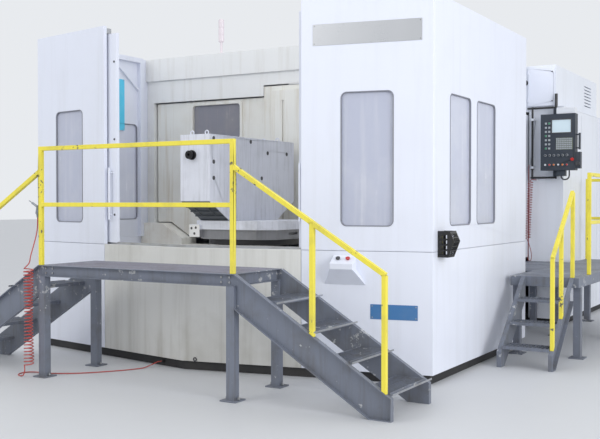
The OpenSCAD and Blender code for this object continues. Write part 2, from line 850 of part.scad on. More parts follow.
// Operator door, open side towards the housing's pocket
module operator_door() {
    x = chamber_half + 8;
    y = rear_y - 1080;
    z = op_door_z;
    color([0.88, 0.90, 0.94]) {
        difference() {
            translate([x, y, z]) cube([36, 1110, op_door_h]);
            translate([x + 18, y + 560, z + op_door_h - 650]) rotate([0, 0, 90])
                window_prism(520, 760, 50, -40, 40);
        }
        translate([x + 52, y + 40, z + 600]) cylinder(h = 500, d = 24);
        for (dz = [640, 1060]) translate([x + 30, y + 40, z + dz]) rotate([0, 90, 0])
            cylinder(h = 22, d = 14);
    }
}

module operator_window() {
    color([0.70, 0.73, 0.80, 0.6])
        translate([chamber_half + 26, rear_y - 520, op_door_z + op_door_h - 650]) rotate([0, 0, 90])
            window_prism(520 - 2 * seat, 760 - 2 * seat, 50 - seat, -5, 5);
}

// Machine core

module machine_bed() {
    rail = 70;
    color([0.40, 0.43, 0.46]) {
        difference() {
            union() {
                // Front bed under the table and cross bed under the column
                translate([-650, bed_y, 0]) cube([1300, 5261 - bed_y, bed_top - 80]);
                translate([-2050, 5260, 0]) cube([4100, 1300, bed_top - 60]);
            }
            // Chip trough and core pockets
            translate([-280, bed_y - 1, 300]) cube([560, 2681, bed_top]);
            for (x = [-1700:850:1700])
                translate([x - 300, 5400, -1]) cube([600, 1020, bed_top - 200]);
        }
        for (x = [-480, 480 - rail])
            translate([x, bed_y + 40, bed_top - 81]) cube([rail, 5160 - bed_y, 81]);
        for (y = [5420, 6300])
            translate([-2000, y, bed_top - 61]) cube([4000, rail, 61]);
        // Ball screws with their bearing blocks
        translate([0, changer_y + 700, bed_top - 120]) rotate([-90, 0, 0]) cylinder(h = 2500, d = 63);
        for (y = [changer_y + 640, 4980]) translate([-290, y, bed_top - 190]) cube([580, 90, 105]);
        translate([-1850, 5900, bed_top + 20]) rotate([0, 90, 0]) cylinder(h = 3700, d = 63);
        for (x = [-1950, 1850]) translate([x, 5820, bed_top - 61]) cube([100, 160, 140]);
    }
}

module table_saddle() {
    z = bed_top + 0.5;
    color([0.45, 0.48, 0.50]) difference() {
        union() {
            translate([-540, table_y - 450, z]) cube([1080, 900, saddle_h]);
            // Guide blocks round the rails
            for (x = [-530, 380], y = [table_y - 440, table_y + 240])
                translate([x, y, z - 40]) cube([150, 200, 60]);
            translate([0, table_y, z + saddle_h - 1]) cylinder(h = 60, d = 820);
        }
        for (x = [-480, 410])
            translate([x - 2, table_y - 500, z - 50]) cube([74, 1000, 50]);
        translate([0, table_y, z + 60]) cylinder(h = saddle_h + 60, d = 300 + 2 * shaft_gap, $fn = 96);
    }
}

module rotary_table() {
    z = bed_top + saddle_h + 60;
    color([0.60, 0.63, 0.66]) difference() {
        translate([0, table_y, 0]) union() {
            translate([0, 0, z]) cylinder(h = table_top - z, d = 840, $fn = 96);
            translate([0, 0, z - 160]) cylinder(h = 170, d = 300, $fn = 96);
        }
        // Round slot and clamp sockets in the face
        translate([0, table_y, table_top - 12]) difference() {
            cylinder(h = 13, d = 620);
            translate([0, 0, -1]) cylinder(h = 15, d = 570);
        }
        for (a = [45:90:315]) translate([0, table_y, 0]) rotate([0, 0, a])
            translate([220, 0, table_top - 40]) cylinder(h = 41, d = 60);
    }
}

module column() {
    z = bed_top + 0.5;
    top = house_h - 140;
    front = head_y + 80;
    color([0.42, 0.45, 0.48]) difference() {
        union() {
            translate([-620, front, z]) cube([1240, 1000, 240]);
            translate([-480, front, z]) cube([150, 760, top - z]);
            translate([330, front, z]) cube([150, 760, top - z]);
            translate([-480, front + 500, z]) cube([960, 260, top - z]);
            translate([-480, front, top - 240]) cube([960, 760, 240]);
            // Vertical rails
            for (x = [-430, 360]) translate([x, front - 60, z + 240]) cube([70, 61, top - z - 300]);
            // Guide blocks on the cross rails
            for (x = [-600, 380], y = [5405, 6285]) translate([x, y, z - 40]) cube([220, 100, 60]);
        }
        // Rails and cross screw pass below
        for (y = [5418, 6298]) translate([-700, y, z - 60]) cube([1400, 74, 60]);
        translate([-700, 5900, bed_top + 20]) rotate([0, 90, 0]) cylinder(h = 1400, d = 80);
        // Ribbed pockets on both flanks
        for (s = [-1, 1], i = [0:2])
            translate([s * 470 - 30, front + 150, z + 400 + i * 640]) cube([60, 300, 480]);
    }
}

module spindle_head() {
    front = head_y + 80;
    color([0.44, 0.47, 0.50]) difference() {
        union() {
            translate([-310, nose_y + 180, spindle_z - 330]) cube([620, front + 440 - nose_y - 180, 700]);
            // Wings with blocks on the vertical rails
            translate([-450, front - 150, spindle_z - 300]) cube([900, 89.5, 640]);
            for (x = [-450, 340], z = [-290, 170])
                translate([x, front - 70, spindle_z + z]) cube([110, 50, 160]);
            translate([0, nose_y + 40, spindle_z]) rotate([-90, 0, 0]) cylinder(h = 160, d = 380);
        }
        for (x = [-432, 358]) translate([x, front - 60.5, spindle_z - 400]) cube([74, 100, 800]);
        translate([0, nose_y - 1, spindle_z]) rotate([-90, 0, 0])
            cylinder(h = 560, d = spindle_d + 2 * shaft_gap, $fn = 96);
    }
}

module spindle() {
    color([0.72, 0.73, 0.75]) translate([0, nose_y, spindle_z]) rotate([-90, 0, 0]) difference() {
        cylinder(h = 540, d = spindle_d, $fn = 96);
        // Taper with its drive keys
        translate([0, 0, -1]) cylinder(h = 110, d1 = 70, d2 = 40);
        for (x = [-1, 1]) translate([x * 52 - 13, -13, -1]) cube([26, 26, 20]);
    }
}

module tool_magazine() {
    r = 820;
    color([0.35, 0.37, 0.40]) translate([-2010, magazine_y, magazine_z]) rotate([0, 90, 0]) {
        difference() {
            union() {
                cylinder(h = 60, r = r - 40, $fn = 96);
                translate([0, 0, -100]) cylinder(h = 260, d = 240);
            }
            for (a = [30:60:330]) rotate([0, 0, a]) translate([430, 0, -1]) cylinder(h = 62, d = 300);
            translate([0, 0, -170]) cylinder(h = 400, d = magazine_shaft + 2 * shaft_gap, $fn = 96);
        }
        for (i = [0:pots - 1]) rotate([0, 0, i * 360 / pots]) translate([r - 90, 0, 30]) difference() {
            cylinder(h = 200, d = 130);
            translate([0, 0, 60]) cylinder(h = 141, d1 = 50, d2 = 76);
        }
    }
}

// Control pendant

module pendant_arm() {
    low = pendant_z - 85;
    high = pendant_z + pendant_h + 99;
    color([0.10, 0.10, 0.11]) {
        translate([pendant_post_x, pendant_post_y, low - 16])
            cylinder(h = high - low + 32, d = post_d, $fn = 96);
        for (p = [[low, 20], [high, 66]])
            translate([pendant_post_x - p[1], pendant_post_y, p[0]]) rotate([0, 90, 0])
                cylinder(h = pendant_x - pendant_post_x + p[1], d = tube_d);
        // Pins that carry the pendant, the upper one with a sleeve
        translate([pendant_x, pendant_post_y, low - 17]) cylinder(h = 50, d = pin_d, $fn = 96);
        translate([pendant_x, pendant_post_y, high - 33]) cylinder(h = 50, d = pin_d, $fn = 96);
        translate([pendant_x, pendant_post_y, high + 8]) cylinder(h = 166, d = 37);
        // Collar under the lower bracket
        translate([pendant_post_x, pendant_post_y, pendant_z + 30 - 12 - seat]) cylinder(h = 12, d = 44);
    }
}

module pendant_housing() {
    x = pendant_left;
    y = pendant_front_y;
    low = pendant_z - 85 + tube_d / 2 + seat;
    high = pendant_z + pendant_h + 99 - tube_d / 2 - seat;
    side = x + pendant_w;
    color([0.25, 0.28, 0.33]) difference() {
        union() {
            translate([x, y, pendant_z]) cube([pendant_w, pendant_d, pendant_h]);
            // Top cap and cable box
            translate([x + 192, y + 20, pendant_z + pendant_h - 1])
                cube([pendant_w - 198, pendant_d - 30, 76]);
            translate([x + 190, y + 30, pendant_z - 70]) cube([110, pendant_d - 50, 71]);
            // Hanger blocks round the arm's pins
            translate([pendant_x - 25, y + pendant_d - 1, low]) cube([50, 66, pendant_z + 40 - low]);
            translate([pendant_x - 25, y + pendant_d - 1, pendant_z + pendant_h - 40])
                cube([50, 66, high - pendant_z - pendant_h + 40]);
            // Side handle
            translate([side + 45, y + 40, pendant_z + 255]) cylinder(h = 205, d = 28);
            for (z = [275, 440]) translate([side - 1, y + 40, pendant_z + z])
                rotate([0, 90, 0]) cylinder(h = 46, d = 16);
            // Box of the pulse handwheel
            translate([side - 1, y + 10, pendant_z + 20]) cube([63, 76, 205]);
        }
        // Screen recess
        translate([x + 143, y - 1, pendant_z + 470]) cube([234, 13, 158]);
        translate([x + 190, y - 1, pendant_z + 255]) cube([210, 7, 150]);
        for (z = [low - 1, high - 31]) translate([pendant_x, pendant_post_y, z])
            cylinder(h = 32, d = pin_d + 2 * shaft_gap, $fn = 96);
        // Bore of the stop button
        translate([e_stop_x, y - 1, e_stop_z]) rotate([-90, 0, 0]) cylinder(h = 41, d = 24 + 2 * shaft_gap);
    }
}

module pendant_screen() {
    color([0.80, 0.86, 0.90])
        translate([pendant_left + 143 + seat, pendant_front_y + 4, pendant_z + 470 + seat])
            cube([234 - 2 * seat, 8 - seat, 158 - 2 * seat]);
}

module pendant_keys() {
    color([0.75, 0.77, 0.78]) translate([pendant_left, pendant_front_y, pendant_z]) {
        for (i = [0:8], j = [0:5])
            translate([196 + i * 22, -4, 261 + j * 24]) cube([17, 10 - seat, 17]);
        for (i = [0, 1], j = [0:6])
            translate([56 + i * 42, -8, 262 + j * 52]) cube([24, 8 - seat, 24]);
        for (i = [0:5], j = [0, 1])
            translate([62 + i * 54, -seat, 69 + j * 118]) rotate([90, 0, 0])
                cylinder(h = 12, d = 26 + 4 * j, $fn = 24);
    }
}

module e_stop_button() {
    color([0.80, 0.08, 0.06]) translate([e_stop_x, pendant_front_y + 30, e_stop_z]) rotate([90, 0, 0]) {
        cylinder(h = 50, d = 24);
        translate([0, 0, 38]) cylinder(h = 16, d1 = 44, d2 = 38);
    }
}

module handwheel() {
    color([0.12, 0.12, 0.13])
        translate([pendant_left + pendant_w + 31, pendant_front_y + 10 - seat, pendant_z + 80])
            rotate([90, 0, 0]) {
                cylinder(h = 22, d = 54);
                translate([17, 0, 21]) cylinder(h = 18, d = 11);
            }
}

// Fittings on the covers

module pallet_console() {
    color([0.88, 0.89, 0.92]) on_facet() translate([console_t, seat, 0]) difference() {
        intersection() {
            translate([-200, 0, 0]) rotate([90, 0, 90]) linear_extrude(400) polygon([
                [0, console_base_z], [console_out, console_lip_z],
                [console_out, console_lip_z + console_lip_h], [0, console_top_z]
            ]);
            translate([0, console_out + 1, 0]) rotate([90, 0, 0]) linear_extrude(console_out + 2) polygon([
                [-192, console_base_z], [192, console_base_z], [105, console_lip_z],
                [105, console_top_z], [-105, console_top_z], [-105, console_lip_z]
            ]);
        }
        for (t = [-45, 45]) on_console_top(t) cylinder(h = 60, d = 18, center = true);
    }
}

// Frame on the console's sloped top, z outwards from it
module on_console_top(t) {
    rise = console_top_z - console_lip_z - console_lip_h;
    translate([t, console_out / 2, console_lip_z + console_lip_h + rise / 2])
        rotate([-atan(rise / console_out), 0, 0]) children();
}

module at_console_button(t) {
    on_facet() translate([console_t, seat, 0]) on_console_top(t) children();
}

module console_button() {
    translate([0, 0, -12]) cylinder(h = 28, d = 17);
    translate([0, 0, 8]) cylinder(h = 12, d = 40);
}

module red_button() {
    color([0.75, 0.10, 0.08]) at_console_button(-45) console_button();
}

module black_button() {
    color([0.07, 0.07, 0.08]) at_console_button(45) console_button();
}

module document_bin() {
    w = 150;
    wire = 5;
    color([0.07, 0.07, 0.08]) translate([house_half + seat, 100, 1100]) difference() {
        translate([0, w, 0]) rotate([90, 0, 0]) linear_extrude(w)
            polygon([[0, 0], [95, 0], [150, 140], [112, 226], [0, 226]]);
        translate([0, w - wire, 0]) rotate([90, 0, 0]) linear_extrude(w - 2 * wire)
            polygon([[wire, wire], [92, wire], [144, 140], [110, 222], [108, 230], [wire, 230]]);
        // Mesh of the front and the sides
        for (i = [0:5], j = [0:4])
            translate([70, 12 + i * 22, 24 + j * 38]) cube([100, 16, 30]);
        for (i = [0:3], j = [0:3])
            translate([16 + i * 20, -1, 20 + j * 46]) cube([14, w + 2, 36]);
    }
}

module signal_tower() {
    color([0.92, 0.90, 0.92]) translate([-1200, changer_y, house_h + seat]) {
        cylinder(h = 14, d = 90);
        cylinder(h = 150, d = 28);
        for (i = [0:2]) translate([0, 0, 150 + i * 88]) {
            cylinder(h = 80, d = 70);
            cylinder(h = 89, d = 62);
        }
        translate([0, 0, 150 + 264]) cylinder(h = 12, d1 = 70, d2 = 40);
    }
}

// Work platforms

// Channel section with its flanges pointing to +y, web on y = 0
module channel(h, flange, t) {
    square([t, h]);
    square([flange, t]);
    translate([0, h - t]) square([flange, t]);
}

// Square leg on a foot plate with two anchor holes
module leg(h) {
    translate([-leg_w / 2, -leg_w / 2, 0]) difference() {
        cube([leg_w, leg_w, h]);
        translate([5, 5, 12]) cube([leg_w - 10, leg_w - 10, h]);
    }
    difference() {
        translate([-75, -75, 0]) cube([150, 150, 12]);
        for (x = [-57, 57]) translate([x, 0, -1]) cylinder(h = 14, d = 14);
    }
}

module platform_frame() {
    z = platform_z - channel_h;
    d = platform_d;
    color([0.42, 0.46, 0.52]) {
        // Front and rear channels open outwards
        translate([platform_x, platform_y + 45, z]) rotate([90, 0, 90]) mirror([1, 0, 0])
            linear_extrude(platform_len) channel(channel_h, 45, 6);
        translate([platform_x, platform_y + d - 45, z]) rotate([90, 0, 90])
            linear_extrude(platform_len) channel(channel_h, 45, 6);
        // Side channels
        translate([platform_x + 45, platform_y + 40, z]) rotate([90, 0, 180])
            linear_extrude(d - 80) channel(channel_h, 45, 6);
        translate([platform_right - 45, platform_y + d - 40, z]) rotate([90, 0, 0])
            linear_extrude(d - 80) channel(channel_h, 45, 6);
        for (x = [platform_x + leg_w / 2 + 2, platform_right - leg_w / 2 - 2],
             y = [platform_y + leg_w / 2 + 2, platform_y + d - leg_w / 2 - 2])
            translate([x, y, 0]) leg(z + 1);
        // Cross beams under the grating
        for (x = [platform_x + platform_len / 3, platform_x + 2 * platform_len / 3])
            translate([x, platform_y + 44, z]) cube([10, d - 88, channel_h - 30 - seat]);
    }
}

module grating(w, d, h, cross) {
    count = floor((w - bar_t) / bar_pitch);
    first = (w - count * bar_pitch - bar_t) / 2;
    for (i = [0:count]) translate([first + i * bar_pitch, 0, 0]) cube([bar_t, d, h]);
    for (y = [0, d - bar_t]) translate([0, y, 0]) cube([w, bar_t, h]);
    for (x = [0, w - bar_t]) translate([x, 0, 0]) cube([bar_t, d, h]);
    for (k = [1:cross]) translate([0, k * d / (cross + 1) - bar_t / 2, h / 3]) cube([w, bar_t, h / 2]);
}

module platform_deck() {
    in = 45 + seat;
    color([0.28, 0.30, 0.34]) translate([platform_x + in, platform_y + in, platform_z - 30])
        grating(platform_len - 2 * in, platform_d - 2 * in, 30, 5);
}

// Stairs that run down along +x from x = 0, with their width along +y
module stairs(run, top, foot, depth, width, steps, going) {
    slope = (top - foot) / run;
    rise = top / (steps + 1);
    floor_x = (top - depth) / slope;
    outline = [[0, top], [run, foot], [run, 0], [floor_x, 0], [0, top - depth]];
    for (y = [0, width])
        translate([0, y, 0]) mirror([0, y > 0 ? 1 : 0, 0]) {
            // Web set in behind the outward flanges
            translate([0, 45, 0]) rotate([90, 0, 0]) linear_extrude(6) polygon(outline);
            translate([0, 45, 0]) rotate([90, 0, 0]) linear_extrude(45) {
                polygon([[0, top], [run, foot], [run, foot - 8], [0, top - 8]]);
                polygon([[0, top - depth + 8], [floor_x, 8], [floor_x, 0], [0, top - depth]]);
                translate([run - 8, 0]) square([8, foot]);
                translate([floor_x - 8, 0]) square([run - floor_x + 8, 8]);
            }
        }
    for (k = [1:steps]) {
        x = (k * rise - 60) / slope;
        translate([x - going / 2, 44, top - k * rise - 30]) {
            translate([going, 0, 0]) rotate([0, 0, 90]) grating(width - 88, going, 30, 1);
            cube([going, 4, 30]);
        }
    }
}

module right_stairs() {
    color([0.42, 0.46, 0.52]) translate([platform_right + seat, platform_y, 0])
        stairs(stairs_run, platform_z, foot_h, stringer_h, platform_d, treads, tread_d);
}

module left_stairs() {
    color([0.42, 0.46, 0.52]) translate([platform_x - seat, platform_y, 0]) mirror([1, 0, 0])
        stairs(stairs_run, platform_z, foot_h, stringer_h, platform_d, treads, tread_d);
}

// Rail tube between two points of one vertical plane along x
module slope_tube(x0, z0, x1, z1) {
    len = norm([x1 - x0, z1 - z0]);
    translate([x0, 0, z0]) rotate([0, -atan2(z1 - z0, x1 - x0), 0])
        translate([-tube / 4, 1, -tube / 2]) cube([len + tube / 2, tube - 2, tube]);
}

// Handrail of one stair, running along +x from its top post to the stringer that starts at x0
module stair_rail(run, top, foot, x0, rail_top) {
    slope = (top - foot) / run;
    rise = rail_top - top;
    for (x = [x0 + run / 2, x0 + run - 80]) difference() {
        z = top - slope * (x + tube - x0);
        translate([x, 0, z]) cube([tube, tube, rise + slope * tube / 2 - 5]);
        // Foot cut along the stringer
        translate([0, -1, 0]) rotate([90, 0, 0]) mirror([0, 0, 1]) linear_extrude(tube + 2) polygon([
            [x - 1, z + slope * (tube + 1) + seat], [x + tube + 1, z - slope + seat],
            [x + tube + 1, z - 9], [x - 1, z - 9]
        ]);
    }
    end = x0 + run - 80 + tube / 2;
    slope_tube(0, rail_top, end, rail_top - slope * (end - x0));
}

module front_guardrail() {
    y = platform_y + 3;
    post_z = platform_z + seat;
    rail_top = platform_z + rail_h;
    stair_top = platform_z + 852;
    left = platform_x + 4;
    right = platform_right - tube - 4;
    color([0.93, 0.84, 0.30]) {
        for (x = [left, right]) translate([x, y, post_z]) cube([tube, tube, rail_top - post_z]);
        for (z = [rail_top - tube, platform_z + mid_rail_h])
            translate([left, y, z]) cube([right + tube - left, tube, tube]);
        translate([right + tube / 2, y, 0])
            stair_rail(stairs_run, platform_z, foot_h, 4 + tube / 2 + seat, stair_top);
        translate([left + tube / 2, y, 0]) mirror([1, 0, 0])
            stair_rail(stairs_run, platform_z, foot_h, 4 + tube / 2 + seat, stair_top);
    }
}

module operator_platform() {
    z = op_z - channel_h;
    alcove_x = chamber_half + 60;
    alcove_y = house_d + 620;
    color([0.42, 0.46, 0.52]) {
        // Tread plate with its arm into the alcove
        plan(op_z - 10, op_z) polygon([
            [op_x, op_y], [op_x + op_w, op_y], [op_x + op_w, op_y + op_len], [op_x, op_y + op_len],
            [op_x, rear_y - 20], [alcove_x, rear_y - 20], [alcove_x, alcove_y],
            [return_x + 60, house_d + 60], [op_x, house_d + 60]
        ]);
        // Edge channels and cross beams
        for (x = [op_x, op_x + op_w - 45])
            translate([x, op_y, z]) cube([45, op_len, channel_h - 9]);
        for (y = [op_y, op_y + op_len / 2, op_y + op_len - 45])
            translate([op_x + 44, y, z]) cube([op_w - 88, 45, channel_h - 9]);
        for (y = [alcove_y + 60, rear_y - 65])
            translate([alcove_x + 30, y, z]) cube([op_x - alcove_x - 29, 45, channel_h - 9]);
        for (x = [op_x + leg_w / 2 + 2, op_x + op_w - leg_w / 2 - 2],
             y = [op_y + 120, op_y + op_len / 2, op_y + op_len - 60])
            translate([x, y, 0]) leg(z + 1);
        translate([alcove_x + 80, rear_y - 60, 0]) leg(z + 1);
        // Brackets to the housing
        for (y = [rear_y + 130, op_y + op_len - 150])
            translate([rear_half + seat, y, z]) cube([op_x - rear_half + 1, 60, channel_h - 20]);
    }
}

module operator_stairs() {
    width = 538;
    color([0.42, 0.46, 0.52])
        translate([op_x + 115 + width, op_y - seat, 0]) rotate([0, 0, -90]) mirror([0, 1, 0])
            stairs(op_run, op_z, 150, 240, width, 3, 230);
}

module operator_guardrail() {
    x = op_x + op_w - tube - 4;
    top = op_z + rail_h;
    base = op_z + seat;
    y0 = op_y + 500;
    y1 = op_y + op_len - tube;
    color([0.93, 0.84, 0.30]) {
        for (y = [y0, (y0 + y1) / 2, y1]) translate([x, y, base]) cube([tube, tube, top - base]);
        for (z = [top - tube, op_z + mid_rail_h])
            translate([x, y0, z]) cube([tube, y1 - y0 + tube, tube]);
        // Rail across the far end
        for (z = [top - tube, op_z + mid_rail_h])
            translate([op_x + 4, y1, z]) cube([op_w - 8, tube, tube]);
        translate([op_x + 4, y1, base]) cube([tube, tube, top - base]);
        // Stair rail on the outer stringer
        translate([op_x + 115 + 538 - 3, op_y, 0]) rotate([0, 0, -90]) mirror([0, 1, 0]) {
            translate([-40, 0, op_z + seat]) cube([tube, tube, 855 - seat]);
            stair_rail(op_run, op_z, 150, seat, op_z + 855);
        }
    }
}

// Air hoses

gun_x = platform_x - 24;
gun_y = platform_y + 22;
gun_z = 1440;
hose_d = 10;
coil_d = 94;
coil_x = -962;
coil_y = -1456;
coil_top = 980;
coil_bottom = 110;
side_hose_d = 8;
side_coil_d = 72;
drop_points = [
    [gun_x, gun_y, gun_z], [gun_x, gun_y, gun_z - 50], [-927, -1387, 1300], [-938, -1414, 1190],
    [-951, -1441, 1090], [-960, -1454, 1020], [coil_x, coil_y, coil_top]
];
floor_points = [
    [coil_x, coil_y, coil_bottom], [-964, -1458, 80], [-974, -1464, 45], [-1000, -1472, 18],
    [-1050, -1472, 6], [-1110, -1444, 6], [-1150, -1380, 6], [-1140, -1310, 6], [-1080, -1270, 6],
    [-1000, -1260, 6], [-900, -1240, 6], [-800, -1190, 6], [-700, -1120, 6], [-600, -1020, 6], [-510, -900, 6],
    [-430, -780, 6], [-370, -660, 6], [-342, -590, 9], [-323, -515, 26], [-308, -442, 44],
    [-298.6, -393.5, 45]
];
side_supply = [
    [1876, 4390, 2050], [1876, 4366, 2048], [1876, 4356, 2030], [1877, 4352, 1980], [1880, 4352, 1800],
    [1882, 4352, 1600], [1882, 4352, 1400], [1880, 4352, 1200], [1876, 4350, 1040], [1874, 4346, 920],
    [1876, 4336, 852], [1894, 4320, 828], [1920, 4306, 836], [1932, 4300, 880], [1924, 4300, 960],
    [1904, 4300, 1030], [1890, 4300, 1085], [1884, 4300, 1110]
];
side_coil_low = [1884, 4300, 1110];
side_coil_high = [1915, 4300, 1840];
side_end = [
    [1915, 4300, 1840], [1917, 4303, 1858], [1924, 4318, 1867], [1940, 4350, 1868], [1958, 4384, 1865],
    [1962, 4398, 1865]
];

// Direction of a route at point i
function route_dir(p, i) = unit(p[min(i + 1, len(p) - 1)] - p[max(i - 1, 0)]);
// Part of v square to a direction
function square_to(v, dir) = unit(v - (v * dir) * dir);
// Side vectors that follow the route without turning round it
function route_sides(p) = [
    for (i = 0, u = square_to([0.3, 1, 0.2], route_dir(p, 0)); i < len(p);
         i = i + 1, u = square_to(u, route_dir(p, min(i, len(p) - 1)))) u
];
// Ring of a tube across the route at a point
function tube_ring(center, u, dir, r, n) = let (v = cross(u, dir))
    [for (k = [0:n - 1]) center + r * (cos(k * 360 / n) * u + sin(k * 360 / n) * v)];

module swept_tube(p, r, n) {
    last = len(p) - 1;
    side = route_sides(p);
    points = [for (i = [0:last]) each tube_ring(p[i], side[i], route_dir(p, i), r, n)];
    sides = [for (i = [0:last - 1], k = [0:n - 1])
        [i * n + k, i * n + (k + 1) % n, (i + 1) * n + (k + 1) % n, (i + 1) * n + k]];
    polyhedron(points, concat(
        [[for (k = [n - 1:-1:0]) k]], sides, [[for (k = [0:n - 1]) last * n + k]]
    ));
}

module air_hose() {
    color([0.78, 0.16, 0.12]) {
        swept_tube(drop_points, hose_d / 2, 8);
        swept_tube(floor_points, hose_d / 2, 8);
    }
}

module hose_coil() {
    color([0.75, 0.25, 0.20])
        translate([coil_x, coil_y, coil_bottom + seat])
            cylinder(h = coil_top - coil_bottom - 2 * seat, d = coil_d);
}

module air_gun() {
    color([0.55, 0.57, 0.60]) translate([gun_x, gun_y, gun_z + seat]) {
        cylinder(h = 26, d = 20);
        translate([0, 0, 20]) cylinder(h = 90, d = 26);
        translate([0, 0, 96]) rotate([0, -62, 0]) cylinder(h = 76, d = 20);
        translate([0, 0, 96]) rotate([0, -62, 0]) translate([0, 0, 70]) cylinder(h = 50, d = 8);
        translate([-24, -5, 34]) rotate([0, 12, 0]) cube([5, 10, 56]);
        // Holder on the post
        translate([0, -9, 44]) cube([28 - seat, 18, 24]);
    }
}

module side_hose() {
    axis = unit(side_coil_high - side_coil_low);
    color([0.78, 0.20, 0.16]) {
        swept_tube(side_supply, side_hose_d / 2, 8);
        swept_tube([side_coil_low + seat * axis, side_coil_high - seat * axis], side_coil_d / 2, 12);
        swept_tube(side_end, side_hose_d / 2, 8);
    }
}

base_plinth();
left_skirt();
center_skirt();
right_skirt();
left_front_panel();
right_front_panel();
left_side_wall();
right_side_wall();
window_seals();
station_windows();
station_deck();
door_tracks();
left_load_door();
right_load_door();
portal_beam();
divider_panel();
divider_windows();
changer_base();
changer_arm();
front_pallet();
angle_plate();
hoist_pin();
rear_pallet();
right_chamber_wall();
left_chamber_wall();
rear_housing();
upper_cabinet();
cabinet_door();
operator_door();
operator_window();
machine_bed();
table_saddle();
rotary_table();
column();
spindle_head();
spindle();
tool_magazine();
pendant_arm();
pendant_housing();
pendant_screen();
pendant_keys();
e_stop_button();
handwheel();
pallet_console();
red_button();
black_button();
document_bin();
signal_tower();
platform_frame();
platform_deck();
right_stairs();
left_stairs();
front_guardrail();
operator_platform();
operator_stairs();
operator_guardrail();
air_hose();
hose_coil();
air_gun();
side_hose();
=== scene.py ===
"""Looks of a horizontal machining center with its work platforms and air hoses.

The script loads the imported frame, gives its nodes procedural finishes and soft edges, adds the
small pieces that the solids leave out and lays the hoses. All sizes are metres in the frame of
the part: origin on the floor under the middle of the station's front line, +X to the operator
side, +Y back along the machine, +Z up.
"""

from __future__ import annotations

import json
import logging
import math
from dataclasses import dataclass
from enum import Enum
from typing import Callable, Iterable, Sequence

import bmesh
import bpy
from mathutils import Matrix, Vector

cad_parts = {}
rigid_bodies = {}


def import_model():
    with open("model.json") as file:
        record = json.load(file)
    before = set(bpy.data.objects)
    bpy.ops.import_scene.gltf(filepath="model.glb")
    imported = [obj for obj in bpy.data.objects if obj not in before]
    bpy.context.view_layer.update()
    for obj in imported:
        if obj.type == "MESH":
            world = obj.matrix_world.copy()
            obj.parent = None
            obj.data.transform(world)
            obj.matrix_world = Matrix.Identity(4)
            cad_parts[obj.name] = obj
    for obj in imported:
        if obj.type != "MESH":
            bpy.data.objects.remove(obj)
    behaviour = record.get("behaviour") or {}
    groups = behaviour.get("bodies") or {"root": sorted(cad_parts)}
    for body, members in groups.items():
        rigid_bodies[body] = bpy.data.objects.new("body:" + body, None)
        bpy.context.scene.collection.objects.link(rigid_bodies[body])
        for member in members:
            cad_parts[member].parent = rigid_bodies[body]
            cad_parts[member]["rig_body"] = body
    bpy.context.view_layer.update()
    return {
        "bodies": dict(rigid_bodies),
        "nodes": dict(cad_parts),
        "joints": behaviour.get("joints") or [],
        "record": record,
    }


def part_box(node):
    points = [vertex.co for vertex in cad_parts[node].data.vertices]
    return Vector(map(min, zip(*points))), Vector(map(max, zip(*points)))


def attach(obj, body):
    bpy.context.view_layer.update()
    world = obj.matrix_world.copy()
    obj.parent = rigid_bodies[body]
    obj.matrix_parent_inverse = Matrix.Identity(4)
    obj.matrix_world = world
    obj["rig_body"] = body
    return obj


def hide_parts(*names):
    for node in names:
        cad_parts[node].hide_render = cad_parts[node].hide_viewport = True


LOG = logging.getLogger("machining_center")
ENCLOSURE = "enclosure"
PENDANT_BODY = "pendant"
PALLET_BODY = "front_pallet"
# Faces that meet at less than this angle are shaded as one surface
SMOOTH_BELOW = math.radians(35)
# Edges whose faces meet at more than this angle are rounded
ROUND_ABOVE = math.radians(40)
# Sockets of the Mix node when it mixes colours
MIX_SHARE, MIX_A, MIX_B, MIX_RESULT = 0, 6, 7, 2

Color = tuple[float, float, float]
Point = tuple[float, float, float]


